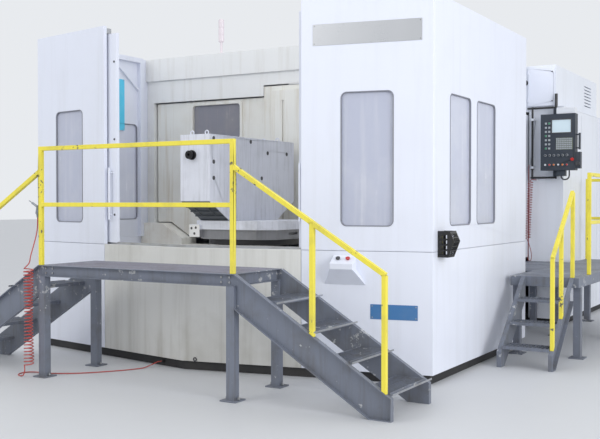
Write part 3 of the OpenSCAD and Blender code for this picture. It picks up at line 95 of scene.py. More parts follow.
class NodeSheet:
    """Short way to add and join the nodes of one tree."""

    def __init__(self, tree: bpy.types.NodeTree) -> None:
        """Keep the tree.

        Args:
            tree: Shader or geometry node tree to fill.
        """
        self.tree = tree

    def add(self, kind: str, inputs: dict | None = None, **settings: object) -> bpy.types.Node:
        """Add a node, set its properties and feed its sockets.

        Args:
            kind: Blender's identifier of the node type.
            inputs: Socket name or index to a plain value or an output socket.
            **settings: Properties of the node itself.

        Returns:
            The new node.
        """
        node = self.tree.nodes.new(kind)
        for name, value in settings.items():
            setattr(node, name, value)
        for key, value in (inputs or {}).items():
            self.feed(node.inputs[key], value)
        return node

    def feed(self, socket: bpy.types.NodeSocket, value: object) -> None:
        """Set a socket to a value, or link an output socket to it.

        Args:
            socket: Input socket.
            value: Plain value or output socket.
        """
        if isinstance(value, bpy.types.NodeSocket):
            self.tree.links.new(value, socket)
        elif socket.type == "RGBA":
            socket.default_value = (*value[:3], 1.0)
        else:
            socket.default_value = value

    def math(self, operation: str, a: object, b: object = 0.0, clamp: bool = False) -> bpy.types.NodeSocket:
        """Add a math node.

        Args:
            operation: Name of the operation.
            a: First value or socket.
            b: Second value or socket.
            clamp: Whether the result is held between 0 and 1.

        Returns:
            The result socket.
        """
        return self.add("ShaderNodeMath", {0: a, 1: b}, operation=operation, use_clamp=clamp).outputs[0]

    def remap(
        self, value: object, low: object, high: object, to_low: object, to_high: object
    ) -> bpy.types.NodeSocket:
        """Map a value from one range to another, held at its ends.

        Args:
            value: Value socket.
            low: Lower end of the input range.
            high: Upper end of the input range.
            to_low: Result at the lower end.
            to_high: Result at the upper end.

        Returns:
            The result socket.
        """
        return self.add("ShaderNodeMapRange", {0: value, 1: low, 2: high, 3: to_low, 4: to_high}).outputs[0]

    def blend(self, share: object, a: object, b: object) -> bpy.types.NodeSocket:
        """Mix two colours.

        Args:
            share: Share of the second colour.
            a: First colour.
            b: Second colour.

        Returns:
            The colour socket.
        """
        inputs = {MIX_SHARE: share, MIX_A: a, MIX_B: b}
        return self.add("ShaderNodeMix", inputs, data_type="RGBA").outputs[MIX_RESULT]

    def noise(self, scale: object, size: object, detail: float, rough: float) -> bpy.types.NodeSocket:
        """Noise on object coordinates with its own stretch.

        Args:
            scale: Stretch of the coordinates along x, y and z.
            size: Scale of the noise.
            detail: Octaves of the noise.
            rough: Share of the finer octaves.

        Returns:
            The noise value socket.
        """
        place = self.add("ShaderNodeTexCoord").outputs["Object"]
        stretched = self.add("ShaderNodeMapping", {"Vector": place, "Scale": scale}).outputs[0]
        return self.add(
            "ShaderNodeTexNoise", {"Vector": stretched, "Scale": size, "Detail": detail, "Roughness": rough}
        ).outputs[0]

    def height(self) -> bpy.types.NodeSocket:
        """Height above the floor.

        Returns:
            The height socket.
        """
        place = self.add("ShaderNodeTexCoord").outputs["Object"]
        return self.add("ShaderNodeSeparateXYZ", {0: place}).outputs[2]

    def average(self, a: object, b: object, share: float) -> bpy.types.NodeSocket:
        """Weigh two values.

        Args:
            a: First value.
            b: Second value.
            share: Share of the first value.

        Returns:
            The result socket.
        """
        return self.math("ADD", self.math("MULTIPLY", a, share), self.math("MULTIPLY", b, 1.0 - share))

    def group(self, plan: "NodeGroup", inputs: dict) -> bpy.types.Node:
        """Place a shared group.

        Args:
            plan: The group.
            inputs: Socket name to a plain value or an output socket.

        Returns:
            The group's node.
        """
        return self.add("ShaderNodeGroup", inputs, node_tree=plan.tree())


@dataclass(frozen=True)
class Socket:
    """One socket of a node group.

    Attributes:
        name: Name of the socket.
        kind: Float, Int, Color, Vector, Geometry or Material.
        value: Default value, or None.
    """

    name: str
    kind: str = "Float"
    value: object = None


@dataclass(frozen=True)
class NodeGroup:
    """Shared node group, built on its first use.

    Attributes:
        name: Name of the group.
        kind: ShaderNodeTree or GeometryNodeTree.
        inputs: Its input sockets.
        outputs: Its output sockets.
        fill: Adds its nodes; gets the sheet, the input sockets and the output sockets by name.
    """

    name: str
    kind: str
    inputs: tuple[Socket, ...]
    outputs: tuple[Socket, ...]
    fill: Callable[[NodeSheet, dict, dict], None]

    def tree(self) -> bpy.types.NodeTree:
        """Hand out the group's tree.

        Returns:
            The node tree.
        """
        return bpy.data.node_groups.get(self.name) or self._build()

    def _build(self) -> bpy.types.NodeTree:
        """Build the group's tree.

        Returns:
            The node tree.
        """
        tree = bpy.data.node_groups.new(self.name, self.kind)
        for side, sockets in (("INPUT", self.inputs), ("OUTPUT", self.outputs)):
            for socket in sockets:
                made = tree.interface.new_socket(
                    name=socket.name, in_out=side, socket_type=f"NodeSocket{socket.kind}"
                )
                if socket.value is not None:
                    made.default_value = socket.value
        start, end = tree.nodes.new("NodeGroupInput"), tree.nodes.new("NodeGroupOutput")
        given = {socket.name: socket for socket in start.outputs if socket.name}
        out = {socket.name: socket for socket in end.inputs if socket.name}
        self.fill(NodeSheet(tree), given, out)
        return tree


def fill_grime(sheet: NodeSheet, given: dict, out: dict) -> None:
    """Lay run-down streaks, blotches and floor dust over a clean colour.

    Args:
        sheet: Sheet of the group's tree.
        given: Input sockets by name.
        out: Output sockets by name.
    """
    dusty_to = 1.15
    streak = sheet.noise((9.0, 9.0, 0.55), given["Scale"], 5.0, 0.62)
    blotch = sheet.noise((1.3, 1.3, 1.3), given["Scale"], 5.0, 0.6)
    streaks = sheet.math("MULTIPLY", sheet.remap(streak, 0.5, 0.74, 0.0, 1.0), given["Streaks"])
    blotches = sheet.math("MULTIPLY", sheet.remap(blotch, 0.48, 0.78, 0.0, 1.0), given["Blotches"])
    low = sheet.math("POWER", sheet.remap(sheet.height(), 0.0, dusty_to, 1.0, 0.0), 2.0)
    uneven = sheet.math("MULTIPLY", low, sheet.remap(streak, 0.3, 0.7, 0.35, 1.0))
    dust = sheet.math("MULTIPLY", uneven, given["Floor Dust"])
    total = sheet.math("ADD", sheet.math("ADD", streaks, blotches), dust, clamp=True)
    sheet.feed(out["Mask"], total)
    sheet.feed(out["Color"], sheet.blend(total, given["Clean"], given["Grime"]))


def fill_chips(sheet: NodeSheet, given: dict, out: dict) -> None:
    """Chip and rub paint, with the bare layer under it.

    Args:
        sheet: Sheet of the group's tree.
        given: Input sockets by name.
        out: Output sockets by name.
    """
    patch = sheet.noise((1.0, 1.0, 1.0), given["Scale"], 9.0, 0.68)
    where = sheet.noise((0.11, 0.11, 0.11), given["Scale"], 2.0, 0.5)
    edge = sheet.math("SUBTRACT", 0.74, sheet.math("MULTIPLY", given["Share"], 0.3))
    gathered = sheet.math("ADD", patch, sheet.math("MULTIPLY", sheet.math("SUBTRACT", where, 0.5), 0.5))
    spot = sheet.remap(gathered, edge, sheet.math("ADD", edge, 0.03), 0.0, 1.0)
    sheet.feed(out["Mask"], spot)
    sheet.feed(out["Height"], sheet.math("SUBTRACT", 1.0, spot))
    sheet.feed(out["Color"], sheet.blend(spot, given["Paint"], given["Bare"]))


def fill_skin(sheet: NodeSheet, given: dict, out: dict) -> None:
    """Make the fine skin of paint, casting or moulding, and the sheen that varies over it.

    Args:
        sheet: Sheet of the group's tree.
        given: Input sockets by name.
        out: Output sockets by name.
    """
    fine = sheet.noise((1.0, 1.0, 1.0), given["Grain"], 3.0, 0.5)
    broad = sheet.noise((1.0, 1.0, 1.0), 2.3, 3.0, 0.55)
    sheet.feed(out["Height"], fine)
    sheet.feed(out["Variation"], sheet.average(fine, broad, 0.35))


def fill_ground_lines(sheet: NodeSheet, given: dict, out: dict) -> None:
    """Make the fine parallel lines of ground or brushed metal.

    Args:
        sheet: Sheet of the group's tree.
        given: Input sockets by name.
        out: Output sockets by name.
    """
    lines = sheet.noise(given["Stretch"], given["Lines"], 4.0, 0.6)
    broad = sheet.noise((1.0, 1.0, 1.0), 4.0, 3.0, 0.55)
    sheet.feed(out["Height"], lines)
    sheet.feed(out["Variation"], sheet.average(lines, broad, 0.5))


GRIME = NodeGroup(
    "Grime", "ShaderNodeTree",
    (
        Socket("Clean", "Color"), Socket("Grime", "Color"), Socket("Streaks"), Socket("Blotches"),
        Socket("Floor Dust"), Socket("Scale", "Float", 1.0),
    ),
    (Socket("Color", "Color"), Socket("Mask")), fill_grime,
)
CHIPS = NodeGroup(
    "Chips", "ShaderNodeTree",
    (Socket("Paint", "Color"), Socket("Bare", "Color"), Socket("Share"), Socket("Scale", "Float", 12.0)),
    (Socket("Color", "Color"), Socket("Mask"), Socket("Height")), fill_chips,
)
SKIN = NodeGroup(
    "Skin", "ShaderNodeTree", (Socket("Grain", "Float", 400.0),), (Socket("Height"), Socket("Variation")),
    fill_skin,
)
GROUND_LINES = NodeGroup(
    "Ground Lines", "ShaderNodeTree",
    (Socket("Stretch", "Vector", (1.0, 14.0, 14.0)), Socket("Lines", "Float", 40.0)),
    (Socket("Height"), Socket("Variation")), fill_ground_lines,
)


class Skin(Enum):
    """Fine structure of a surface."""

    SMOOTH = "smooth"
    CAST = "cast"
    GROUND = "ground"


@dataclass(frozen=True)
class Finish:
    """Procedural finish of one kind of surface.

    Attributes:
        name: Name of the material.
        slot: Material slot of the record that it belongs to.
        color: Clean colour, linear.
        roughness: Roughness where the surface is clean.
        metallic: 1 for bare metal.
        grime: Colour of the dirt.
        streaks: Share of run-down streaks.
        blotches: Share of blotches.
        dust: Share of floor dust near the ground.
        grime_scale: Scale of the dirt pattern.
        bare: Colour under chipped paint.
        chips: Share of chipped paint.
        chip_scale: Scale of the chips.
        skin: Fine structure.
        grain: Scale of the fine structure.
        stretch: Direction of the lines on ground metal.
        relief: Height of the fine structure in metres.
        coat: Weight of a clear coat.
        alpha: 1 where the surface is opaque.
        glow: Strength of a lit surface.
        painted_shade_below: Height under which a painted shade darkens the surface, or 0.
    """

    name: str
    slot: str
    color: Color
    roughness: float = 0.45
    metallic: float = 0.0
    grime: Color = (0.35, 0.30, 0.24)
    streaks: float = 0.0
    blotches: float = 0.0
    dust: float = 0.0
    grime_scale: float = 1.0
    bare: Color = (0.25, 0.24, 0.23)
    chips: float = 0.0
    chip_scale: float = 12.0
    skin: Skin = Skin.SMOOTH
    grain: float = 350.0
    stretch: Point = (1.0, 14.0, 14.0)
    relief: float = 0.00005
    coat: float = 0.0
    alpha: float = 1.0
    glow: float = 0.0
    painted_shade_below: float = 0.0

    def material(self) -> bpy.types.Material:
        """Hand out the material, built on its first use.

        Returns:
            The material.
        """
        return bpy.data.materials.get(self.name) or self._build()

    def _build(self) -> bpy.types.Material:
        """Build the material's nodes.

        Returns:
            The material.
        """
        material = bpy.data.materials.new(self.name)
        material.use_nodes = True
        material.node_tree.nodes.clear()
        sheet = NodeSheet(material.node_tree)
        shader = sheet.add("ShaderNodeBsdfPrincipled", {
            "Metallic": self.metallic, "Coat Weight": self.coat, "Alpha": self.alpha,
        })
        sheet.feed(sheet.add("ShaderNodeOutputMaterial").inputs["Surface"], shader.outputs[0])
        dirt = sheet.group(GRIME, {
            "Clean": self.color, "Grime": self.grime, "Streaks": self.streaks, "Blotches": self.blotches,
            "Floor Dust": self.dust, "Scale": self.grime_scale,
        })
        color, mask = dirt.outputs["Color"], dirt.outputs["Mask"]
        # Painted shade: below the given height the colour turns dark, standing for the shade under the
        # pallet's top plate
        if self.painted_shade_below:
            soft_edge, darkest = 0.004, 0.8
            low, high = self.painted_shade_below - soft_edge, self.painted_shade_below + soft_edge
            color = sheet.blend(sheet.remap(sheet.height(), low, high, darkest, 0.0), color, self.grime)
        if self.skin is Skin.GROUND:
            fine = sheet.group(GROUND_LINES, {"Stretch": self.stretch})
        else:
            fine = sheet.group(SKIN, {"Grain": self.grain})
        height = fine.outputs["Height"]
        if self.chips:
            chip = sheet.group(
                CHIPS, {"Paint": color, "Bare": self.bare, "Share": self.chips, "Scale": self.chip_scale}
            )
            color = chip.outputs["Color"]
            mask = sheet.math("MAXIMUM", mask, chip.outputs["Mask"])
            paint_edge = 3.0
            height = sheet.math("ADD", height, sheet.math("MULTIPLY", chip.outputs["Height"], paint_edge))
        vary, dull_dirt, bump_strength = 0.06, 0.2, 0.6
        spread = sheet.remap(
            fine.outputs["Variation"], 0.3, 0.7, self.roughness - vary, self.roughness + vary
        )
        rough = sheet.math("ADD", spread, sheet.math("MULTIPLY", mask, dull_dirt), clamp=True)
        bump = sheet.add(
            "ShaderNodeBump", {"Strength": bump_strength, "Distance": self.relief, "Height": height}
        )
        sheet.feed(shader.inputs["Base Color"], color)
        sheet.feed(shader.inputs["Roughness"], rough)
        sheet.feed(shader.inputs["Normal"], bump.outputs[0])
        if self.glow:
            sheet.feed(shader.inputs["Emission Color"], color)
            shader.inputs["Emission Strength"].default_value = self.glow
        material.diffuse_color = (*self.color, self.alpha)
        return material


WHITE = Finish(
    "white_enamel", "cover_paint", (0.80, 0.83, 0.93), 0.38, grime=(0.46, 0.45, 0.45), streaks=0.10,
    blotches=0.07, dust=0.15, coat=0.15,
)
# Painted shade: a darker, bluer copy of the white enamel for the left facet and the side walls, which lie in
# less light
WHITE_SHADED = Finish(
    "white_enamel_shaded", "cover_paint", (0.77, 0.80, 0.90), 0.40, grime=(0.42, 0.41, 0.41), streaks=0.12,
    blotches=0.08, dust=0.15, coat=0.1,
)
WHITE_REAR = Finish(
    "white_enamel_housing", "housing_paint", (0.79, 0.82, 0.89), 0.40, grime=(0.42, 0.41, 0.40),
    streaks=0.12, blotches=0.10, dust=0.15, coat=0.1,
)
SKIRT = Finish(
    "stained_skirt_enamel", "skirt_paint", (0.73, 0.73, 0.71), 0.46, grime=(0.36, 0.34, 0.29), streaks=0.28,
    blotches=0.4, dust=0.4, grime_scale=0.9,
)
DIVIDER = Finish(
    "stained_divider_enamel", "divider_paint", (0.82, 0.82, 0.78), 0.48, grime=(0.55, 0.48, 0.36),
    streaks=0.55, blotches=0.25, grime_scale=1.4,
)
PORTAL = Finish(
    "portal_enamel", "divider_paint", (0.82, 0.83, 0.83), 0.45, grime=(0.46, 0.42, 0.34), streaks=0.25,
    blotches=0.2, grime_scale=1.2,
)
DECK = Finish(
    "stained_deck_enamel", "deck_paint", (0.86, 0.85, 0.80), 0.5, grime=(0.46, 0.34, 0.21), streaks=0.2,
    blotches=0.4, grime_scale=2.0,
)
# Near-black plinth: its colour is partly the dark base and partly painted shade of the deep gap under the
# skirt
PLINTH_AND_SHADE = Finish(
    "black_plinth_and_shade", "plinth_black", (0.02, 0.02, 0.022), 0.6, grime=(0.12, 0.11, 0.10), blotches=0.4,
)
SEAL = Finish("window_rubber", "seal_rubber", (0.26, 0.27, 0.31), 0.6, blotches=0.2, grain=600.0)
PANE = Finish(
    "scratched_pane", "window_clear", (0.64, 0.67, 0.80), 0.16, grime=(0.78, 0.80, 0.88), streaks=0.6,
    blotches=0.7, grime_scale=1.6, alpha=0.66,
)
DARK_PANE = Finish(
    "smoked_pane", "window_dark", (0.28, 0.28, 0.32), 0.2, grime=(0.40, 0.38, 0.36), blotches=0.4,
    streaks=0.3, grime_scale=3.0, alpha=0.92,
)
STEEL = Finish(
    "worn_steel", "track_steel", (0.50, 0.51, 0.53), 0.34, 1.0, grime=(0.16, 0.13, 0.10), blotches=0.45,
    grime_scale=4.0, skin=Skin.GROUND,
)
CHANGER = Finish(
    "oily_casting", "changer_iron", (0.07, 0.08, 0.095), 0.5, grime=(0.03, 0.025, 0.02), blotches=0.6,
    skin=Skin.CAST, grain=160.0, relief=0.0004,
)
ARM = Finish(
    "black_arm", "arm_black", (0.014, 0.014, 0.016), 0.45, grime=(0.05, 0.045, 0.04), blotches=0.5,
    skin=Skin.CAST, grain=160.0, relief=0.0004,
)
# Ground pallet; its band below the top plate carries painted shade
PALLET = Finish(
    "ground_pallet", "pallet_steel", (0.76, 0.78, 0.86), 0.42, 0.1, grime=(0.13, 0.13, 0.135), blotches=0.35,
    streaks=0.2, painted_shade_below=1.297, grime_scale=4.0, skin=Skin.GROUND, stretch=(14.0, 1.0, 14.0),
)
FIXTURE = Finish(
    "ground_fixture", "plate_steel", (0.72, 0.74, 0.82), 0.42, 0.08, grime=(0.32, 0.33, 0.35), blotches=0.2,
    streaks=0.4, grime_scale=3.0, skin=Skin.GROUND, stretch=(14.0, 14.0, 1.0),
)
BLACK_STEEL = Finish("blackened_steel", "pin_black", (0.015, 0.015, 0.017), 0.4, 0.5)
BED = Finish(
    "grey_casting", "bed_iron", (0.13, 0.15, 0.18), 0.5, grime=(0.05, 0.045, 0.04), blotches=0.4,
    skin=Skin.CAST, grain=140.0, relief=0.0004,
)
TABLE = Finish("ground_table", "table_steel", (0.36, 0.39, 0.42), 0.38, 0.8, blotches=0.3, skin=Skin.GROUND)
SPINDLE = Finish("ground_spindle", "spindle_steel", (0.50, 0.51, 0.53), 0.25, 1.0, skin=Skin.GROUND)
TUBE = Finish("black_tube", "pendant_tube", (0.012, 0.012, 0.014), 0.35, coat=0.3)
PENDANT = Finish(
    "slate_texture_paint", "pendant_paint", (0.036, 0.046, 0.062), 0.5, blotches=0.08, grain=700.0,
    relief=0.0001,
)
PENDANT_WHITE = Finish(
    "pendant_cap_paint", "cover_paint", (0.74, 0.76, 0.80), 0.42, grime=(0.4, 0.38, 0.36), blotches=0.1,
)
SCREEN = Finish("pale_screen", "screen", (0.62, 0.74, 0.80), 0.2, glow=0.12)
KEYS = Finish("pale_keys", "key_plastic", (0.42, 0.45, 0.48), 0.5)
RED = Finish("red_cap", "red_plastic", (0.55, 0.015, 0.012), 0.3, coat=0.3)
AMBER = Finish("amber_cap", "red_plastic", (0.75, 0.20, 0.02), 0.3, coat=0.3)
GREEN = Finish("green_cap", "key_plastic", (0.06, 0.32, 0.16), 0.35)
KEY_PANEL = Finish("olive_key_panel", "key_plastic", (0.20, 0.23, 0.17), 0.5)
BLACK = Finish("black_plastic", "black_plastic", (0.016, 0.016, 0.018), 0.42)
WIRE = Finish("black_wire", "bin_wire", (0.010, 0.010, 0.012), 0.4, coat=0.2)
LAMP = Finish("lamp_lens", "lamp_plastic", (0.80, 0.72, 0.76), 0.25, coat=0.4)
FRAME = Finish(
    "worn_blue_grey_enamel", "platform_paint", (0.175, 0.195, 0.245), 0.45, grime=(0.11, 0.105, 0.10),
    streaks=0.35, blotches=0.6, dust=0.2, grime_scale=3.0, bare=(0.46, 0.47, 0.48), chips=0.33,
    chip_scale=14.0,
)
GRATING = Finish(
    "worn_grating", "grating_steel", (0.33, 0.325, 0.385), 0.5, grime=(0.20, 0.185, 0.18), blotches=0.6,
    grime_scale=5.0, chips=0.3, chip_scale=30.0, bare=(0.36, 0.35, 0.37),
)
YELLOW = Finish(
    "worn_yellow_enamel", "rail_yellow", (0.86, 0.74, 0.07), 0.4, grime=(0.22, 0.18, 0.10), streaks=0.12,
    blotches=0.32, grime_scale=4.0, bare=(0.12, 0.115, 0.10), chips=0.27, chip_scale=22.0,
)
DARK_HOSE = Finish(
    "dark_red_hose", "hose_red", (0.28, 0.015, 0.012), 0.3, grime=(0.12, 0.05, 0.04), blotches=0.3,
    grime_scale=6.0,
)
HOSE = Finish(
    "red_hose", "hose_red", (0.46, 0.06, 0.05), 0.28, grime=(0.25, 0.12, 0.09), blotches=0.4,
    grime_scale=6.0,
)
WHITE_BLOCK = Finish(
    "white_clamp_paint", "cover_paint", (0.80, 0.80, 0.80), 0.4, grime=(0.30, 0.28, 0.24), blotches=0.3,
)
GUN = Finish("cast_gun", "gun_metal", (0.30, 0.32, 0.35), 0.4, 0.8, skin=Skin.CAST, grain=300.0)
SILVER = Finish(
    "brushed_plate", "track_steel", (0.60, 0.61, 0.63), 0.3, 1.0, skin=Skin.GROUND,
    stretch=(1.0, 1.0, 20.0),
)
BLUE = Finish(
    "blue_plate", "cover_paint", (0.06, 0.19, 0.42), 0.38, grime=(0.3, 0.34, 0.4), blotches=0.15,
    grime_scale=5.0,
)
CYAN = Finish(
    "cyan_plate", "cover_paint", (0.10, 0.60, 0.85), 0.4, grime=(0.5, 0.7, 0.8), blotches=0.15,
    grime_scale=5.0,
)
BOLT = Finish(
    "zinc_bolt", "track_steel", (0.42, 0.43, 0.44), 0.35, 1.0, grime=(0.15, 0.12, 0.09), blotches=0.4,
    grime_scale=20.0,
)
FLOOR = Finish("studio_floor", "", (0.60, 0.61, 0.63), 0.55)


# Finish of each node that shows, and the width of its rounded edges (0 keeps the node's own mesh)
NODE_FINISH: dict[str, tuple[Finish, float]] = {
    # The plinth's near-black colour also paints the shade under the skirt
    "base_plinth": (PLINTH_AND_SHADE, 0.0),
    "left_skirt": (WHITE, 0.003), "center_skirt": (SKIRT, 0.003), "right_skirt": (WHITE, 0.003),
    # The left facet and the side walls take the copy of the white with painted shade
    "left_front_panel": (WHITE_SHADED, 0.003), "right_front_panel": (WHITE, 0.003),
    "left_side_wall": (WHITE_SHADED, 0.003), "right_side_wall": (WHITE_SHADED, 0.003),
    "window_seals": (SEAL, 0.0015), "station_windows": (PANE, 0.001), "station_deck": (DECK, 0.002),
    "door_tracks": (STEEL, 0.001), "left_load_door": (WHITE, 0.002), "right_load_door": (WHITE, 0.002),
    "portal_beam": (PORTAL, 0.002), "divider_panel": (DIVIDER, 0.003), "divider_windows": (DARK_PANE, 0.0),
    "changer_base": (CHANGER, 0.003), "changer_arm": (ARM, 0.003), "front_pallet": (PALLET, 0.002),
    "angle_plate": (FIXTURE, 0.003), "hoist_pin": (BLACK_STEEL, 0.002), "rear_pallet": (PALLET, 0.002),
    "right_chamber_wall": (WHITE_REAR, 0.002), "left_chamber_wall": (WHITE_REAR, 0.002),
    "rear_housing": (WHITE_REAR, 0.003), "upper_cabinet": (WHITE_REAR, 0.003),
    "cabinet_door": (WHITE, 0.002), "operator_door": (WHITE_REAR, 0.002), "operator_window": (PANE, 0.0),
    "machine_bed": (BED, 0.003), "table_saddle": (BED, 0.003), "rotary_table": (TABLE, 0.002),
    "column": (BED, 0.004), "spindle_head": (BED, 0.004), "spindle": (SPINDLE, 0.001),
    "tool_magazine": (CHANGER, 0.0), "pendant_arm": (TUBE, 0.001), "pendant_housing": (PENDANT, 0.002),
    "pendant_screen": (SCREEN, 0.0), "pendant_keys": (KEYS, 0.001), "e_stop_button": (RED, 0.0015),
    "handwheel": (BLACK, 0.0015), "pallet_console": (WHITE, 0.004), "red_button": (RED, 0.002),
    "black_button": (BLACK, 0.002), "document_bin": (WIRE, 0.0), "signal_tower": (LAMP, 0.001),
    "platform_frame": (FRAME, 0.002), "platform_deck": (GRATING, 0.0), "right_stairs": (FRAME, 0.0),
    "left_stairs": (FRAME, 0.0), "front_guardrail": (YELLOW, 0.004), "operator_platform": (FRAME, 0.002),
    "operator_stairs": (FRAME, 0.0), "operator_guardrail": (YELLOW, 0.004), "air_gun": (GUN, 0.001),
}


def placed(name: str, data: bpy.types.ID) -> bpy.types.Object:
    """Put a new object into the scene.

    Args:
        name: Name of the object.
        data: Its mesh, curve, lamp or camera.

    Returns:
        The object.
    """
    obj = bpy.data.objects.new(name, data)
    bpy.context.scene.collection.objects.link(obj)
    return obj


def new_object(name: str, mesh: bpy.types.Mesh, finish: Finish, body: str) -> bpy.types.Object:
    """Put a finished mesh into the scene as a piece that rides on a body.

    Args:
        name: Name of the piece.
        mesh: Its mesh, in the frame of the part.
        finish: Its finish.
        body: Body that carries it.

    Returns:
        The piece.
    """
    obj = placed(name, mesh)
    mesh.materials.clear()
    mesh.materials.append(finish.material())
    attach(obj, body)
    return obj


def baked(obj: bpy.types.Object, name: str) -> bpy.types.Mesh:
    """Apply an object's modifiers to a plain mesh and remove the object.

    Args:
        obj: Object with modifiers.
        name: Name of the new mesh.

    Returns:
        The plain mesh.
    """
    graph = bpy.context.evaluated_depsgraph_get()
    mesh = bpy.data.meshes.new_from_object(obj.evaluated_get(graph))
    mesh.name = name
    obj.modifiers.clear()
    bpy.data.objects.remove(obj)
    return mesh


class MeshPen:
    """Collects simple solids in one mesh, in the frame of the part."""

    def __init__(self) -> None:
        """Start with an empty mesh."""
        self.bm = bmesh.new()

    def box(self, low: Sequence[float], high: Sequence[float], place: Matrix | None = None) -> None:
        """Add a box between two corners.

        Args:
            low: Lowest corner.
            high: Highest corner.
            place: Frame of the corners, or None for the frame of the part.
        """
        size = Vector(high) - Vector(low)
        middle = (Vector(high) + Vector(low)) / 2
        matrix = (place or Matrix()) @ Matrix.Translation(middle) @ Matrix.Diagonal((*size, 1.0))
        bmesh.ops.create_cube(self.bm, size=1.0, matrix=matrix)

    def drum(
        self, foot: Sequence[float], axis: Sequence[float], length: float, r0: float, r1: float, sides: int
    ) -> None:
        """Add a cone with its tip cut off.

        Args:
            foot: Middle of its first face.
            axis: Direction in which it runs.
            length: Its length.
            r0: Radius at the foot.
            r1: Radius at the head.
            sides: Number of side faces.
        """
        way = Vector(axis).normalized()
        turn = way.to_track_quat("Z", "Y").to_matrix().to_4x4()
        matrix = Matrix.Translation(Vector(foot) + way * length / 2) @ turn
        bmesh.ops.create_cone(
            self.bm, cap_ends=True, segments=sides, radius1=r0, radius2=r1, depth=length, matrix=matrix
        )

    def mesh(self, name: str, bevel: float = 0.0, segments: int = 2) -> bpy.types.Mesh:
        """Finish the mesh.

        Args:
            name: Name of the mesh.
            bevel: Width of the rounded edges, or 0 for sharp ones.
            segments: Steps across an edge.

        Returns:
            The mesh.
        """
        bmesh.ops.recalc_face_normals(self.bm, faces=self.bm.faces[:])
        mesh = bpy.data.meshes.new(name)
        self.bm.to_mesh(mesh)
        self.bm.free()
        if bevel:
            return rounded(mesh, name, bevel, segments)
        mesh.shade_smooth()
        mesh.set_sharp_from_angle(angle=SMOOTH_BELOW)
        return mesh

    def piece(self, name: str, finish: Finish, body: str, bevel: float = 0.0, segments: int = 2) -> None:
        """Finish the mesh and put it into the scene.

        Args:
            name: Name of the piece.
            finish: Its finish.
            body: Body that carries it.
            bevel: Width of the rounded edges, or 0 for sharp ones.
            segments: Steps across an edge.
        """
        new_object(name, self.mesh(name, bevel, segments), finish, body)


def rounded(mesh: bpy.types.Mesh, name: str, width: float, segments: int = 2) -> bpy.types.Mesh:
    """Round the edges of a mesh and keep its flat areas flat.

    Args:
        mesh: Mesh to finish.
        name: Name of the new mesh.
        width: Width of the rounded edges.
        segments: Steps across an edge.

    Returns:
        The new mesh.
    """
    mesh.materials.append(None)
    mesh.materials.append(None)
    mesh.shade_smooth()
    obj = placed(name + "_raw", mesh)
    bevel = obj.modifiers.new("edges", "BEVEL")
    bevel.width = width
    bevel.segments = segments
    bevel.limit_method = "ANGLE"
    bevel.angle_limit = ROUND_ABOVE
    bevel.use_clamp_overlap = False
    bevel.miter_outer = "MITER_ARC"
    bevel.material = 1
    done = baked(obj, name)
    settle_normals(done)
    return done


def settle_normals(mesh: bpy.types.Mesh) -> None:
    """Give faces the normals of their own smooth area, and rounded edges those of the areas they join.

    Args:
        mesh: Mesh whose rounded edges have material index 1.
    """
    limit = math.cos(SMOOTH_BELOW)
    digits = 3
    faces = [
        (poly.normal.copy(), poly.area, poly.material_index, tuple(poly.vertices)) for poly in mesh.polygons
    ]
    around: list[list[tuple[Vector, float, int]]] = [[] for _ in mesh.vertices]
    for normal, area, kind, corners in faces:
        for vert in corners:
            around[vert].append((normal, area, kind))
    normals: list[Vector] = []
    for normal, _, kind, corners in faces:
        for vert in corners:
            main = [entry for entry in around[vert] if entry[2] == 0]
            lead = normal if kind == 0 else max((n for n, _, _ in main), key=normal.dot, default=None)
            near = [entry for entry in main if entry[0].dot(lead) > limit] if lead else around[vert]
            weights: dict[tuple[float, ...], float] = {}
            for n, area, _ in near:
                key = tuple(round(c, digits) for c in n)
                weights[key] = max(weights.get(key, 0.0), area)
            total = sum((Vector(key) * weight for key, weight in weights.items()), Vector())
            normals.append(total.normalized() if total.length else normal)
    mesh.polygons.foreach_set("material_index", [0] * len(mesh.polygons))
    mesh.normals_split_custom_set(normals)


def flat_region(seed: bmesh.types.BMFace, limit: float) -> set[bmesh.types.BMFace]:
    """Collect the faces that lie in one flat area with a face.

    Args:
        seed: Face to start from.
        limit: Smallest cosine between two faces of one flat area.

    Returns:
        The faces of the area.
    """
    region, stack = {seed}, [seed]
    while stack:
        for edge in stack.pop().edges:
            for other in edge.link_faces:
                if other not in region and other.normal.dot(seed.normal) > limit:
                    region.add(other)
                    stack.append(other)
    return region


def join_flat_areas(bm: bmesh.types.BMesh, degrees: float = 1.0) -> None:
    """Join the triangles of each flat area without a hole; an area with holes keeps its triangles.

    Args:
        bm: Mesh to work on.
        degrees: Largest angle between two faces of one flat area.
    """
    limit = math.cos(math.radians(degrees))
    seen: set[bmesh.types.BMFace] = set()
    inner: set[bmesh.types.BMEdge] = set()
    for seed in bm.faces:
        if seed in seen:
            continue
        region = flat_region(seed, limit) - seen
        seen |= region
        edges = {edge for face in region for edge in face.edges}
        verts = {vert for face in region for vert in face.verts}
        if len(region) > 1 and len(verts) - len(edges) + len(region) == 1:
            inner |= {edge for edge in edges if sum(face in region for face in edge.link_faces) == 2}
    bmesh.ops.dissolve_edges(bm, edges=[edge for edge in bm.edges if edge in inner], use_verts=False)


def soft_edged_copy(node: bpy.types.Object, name: str, width: float) -> bpy.types.Mesh:
    """Copy a node's mesh, join its loose triangles and round its edges.

    Args:
        node: The node's object.
        name: Name of the new mesh.
        width: Width of the rounded edges.

    Returns:
        The new mesh.
    """
    same_place = 1e-5
    bm = bmesh.new()
    bm.from_mesh(node.data)
    bmesh.ops.remove_doubles(bm, verts=bm.verts[:], dist=same_place)
    join_flat_areas(bm)
    mesh = bpy.data.meshes.new(name)
    bm.to_mesh(mesh)
    bm.free()
    return rounded(mesh, name, width)


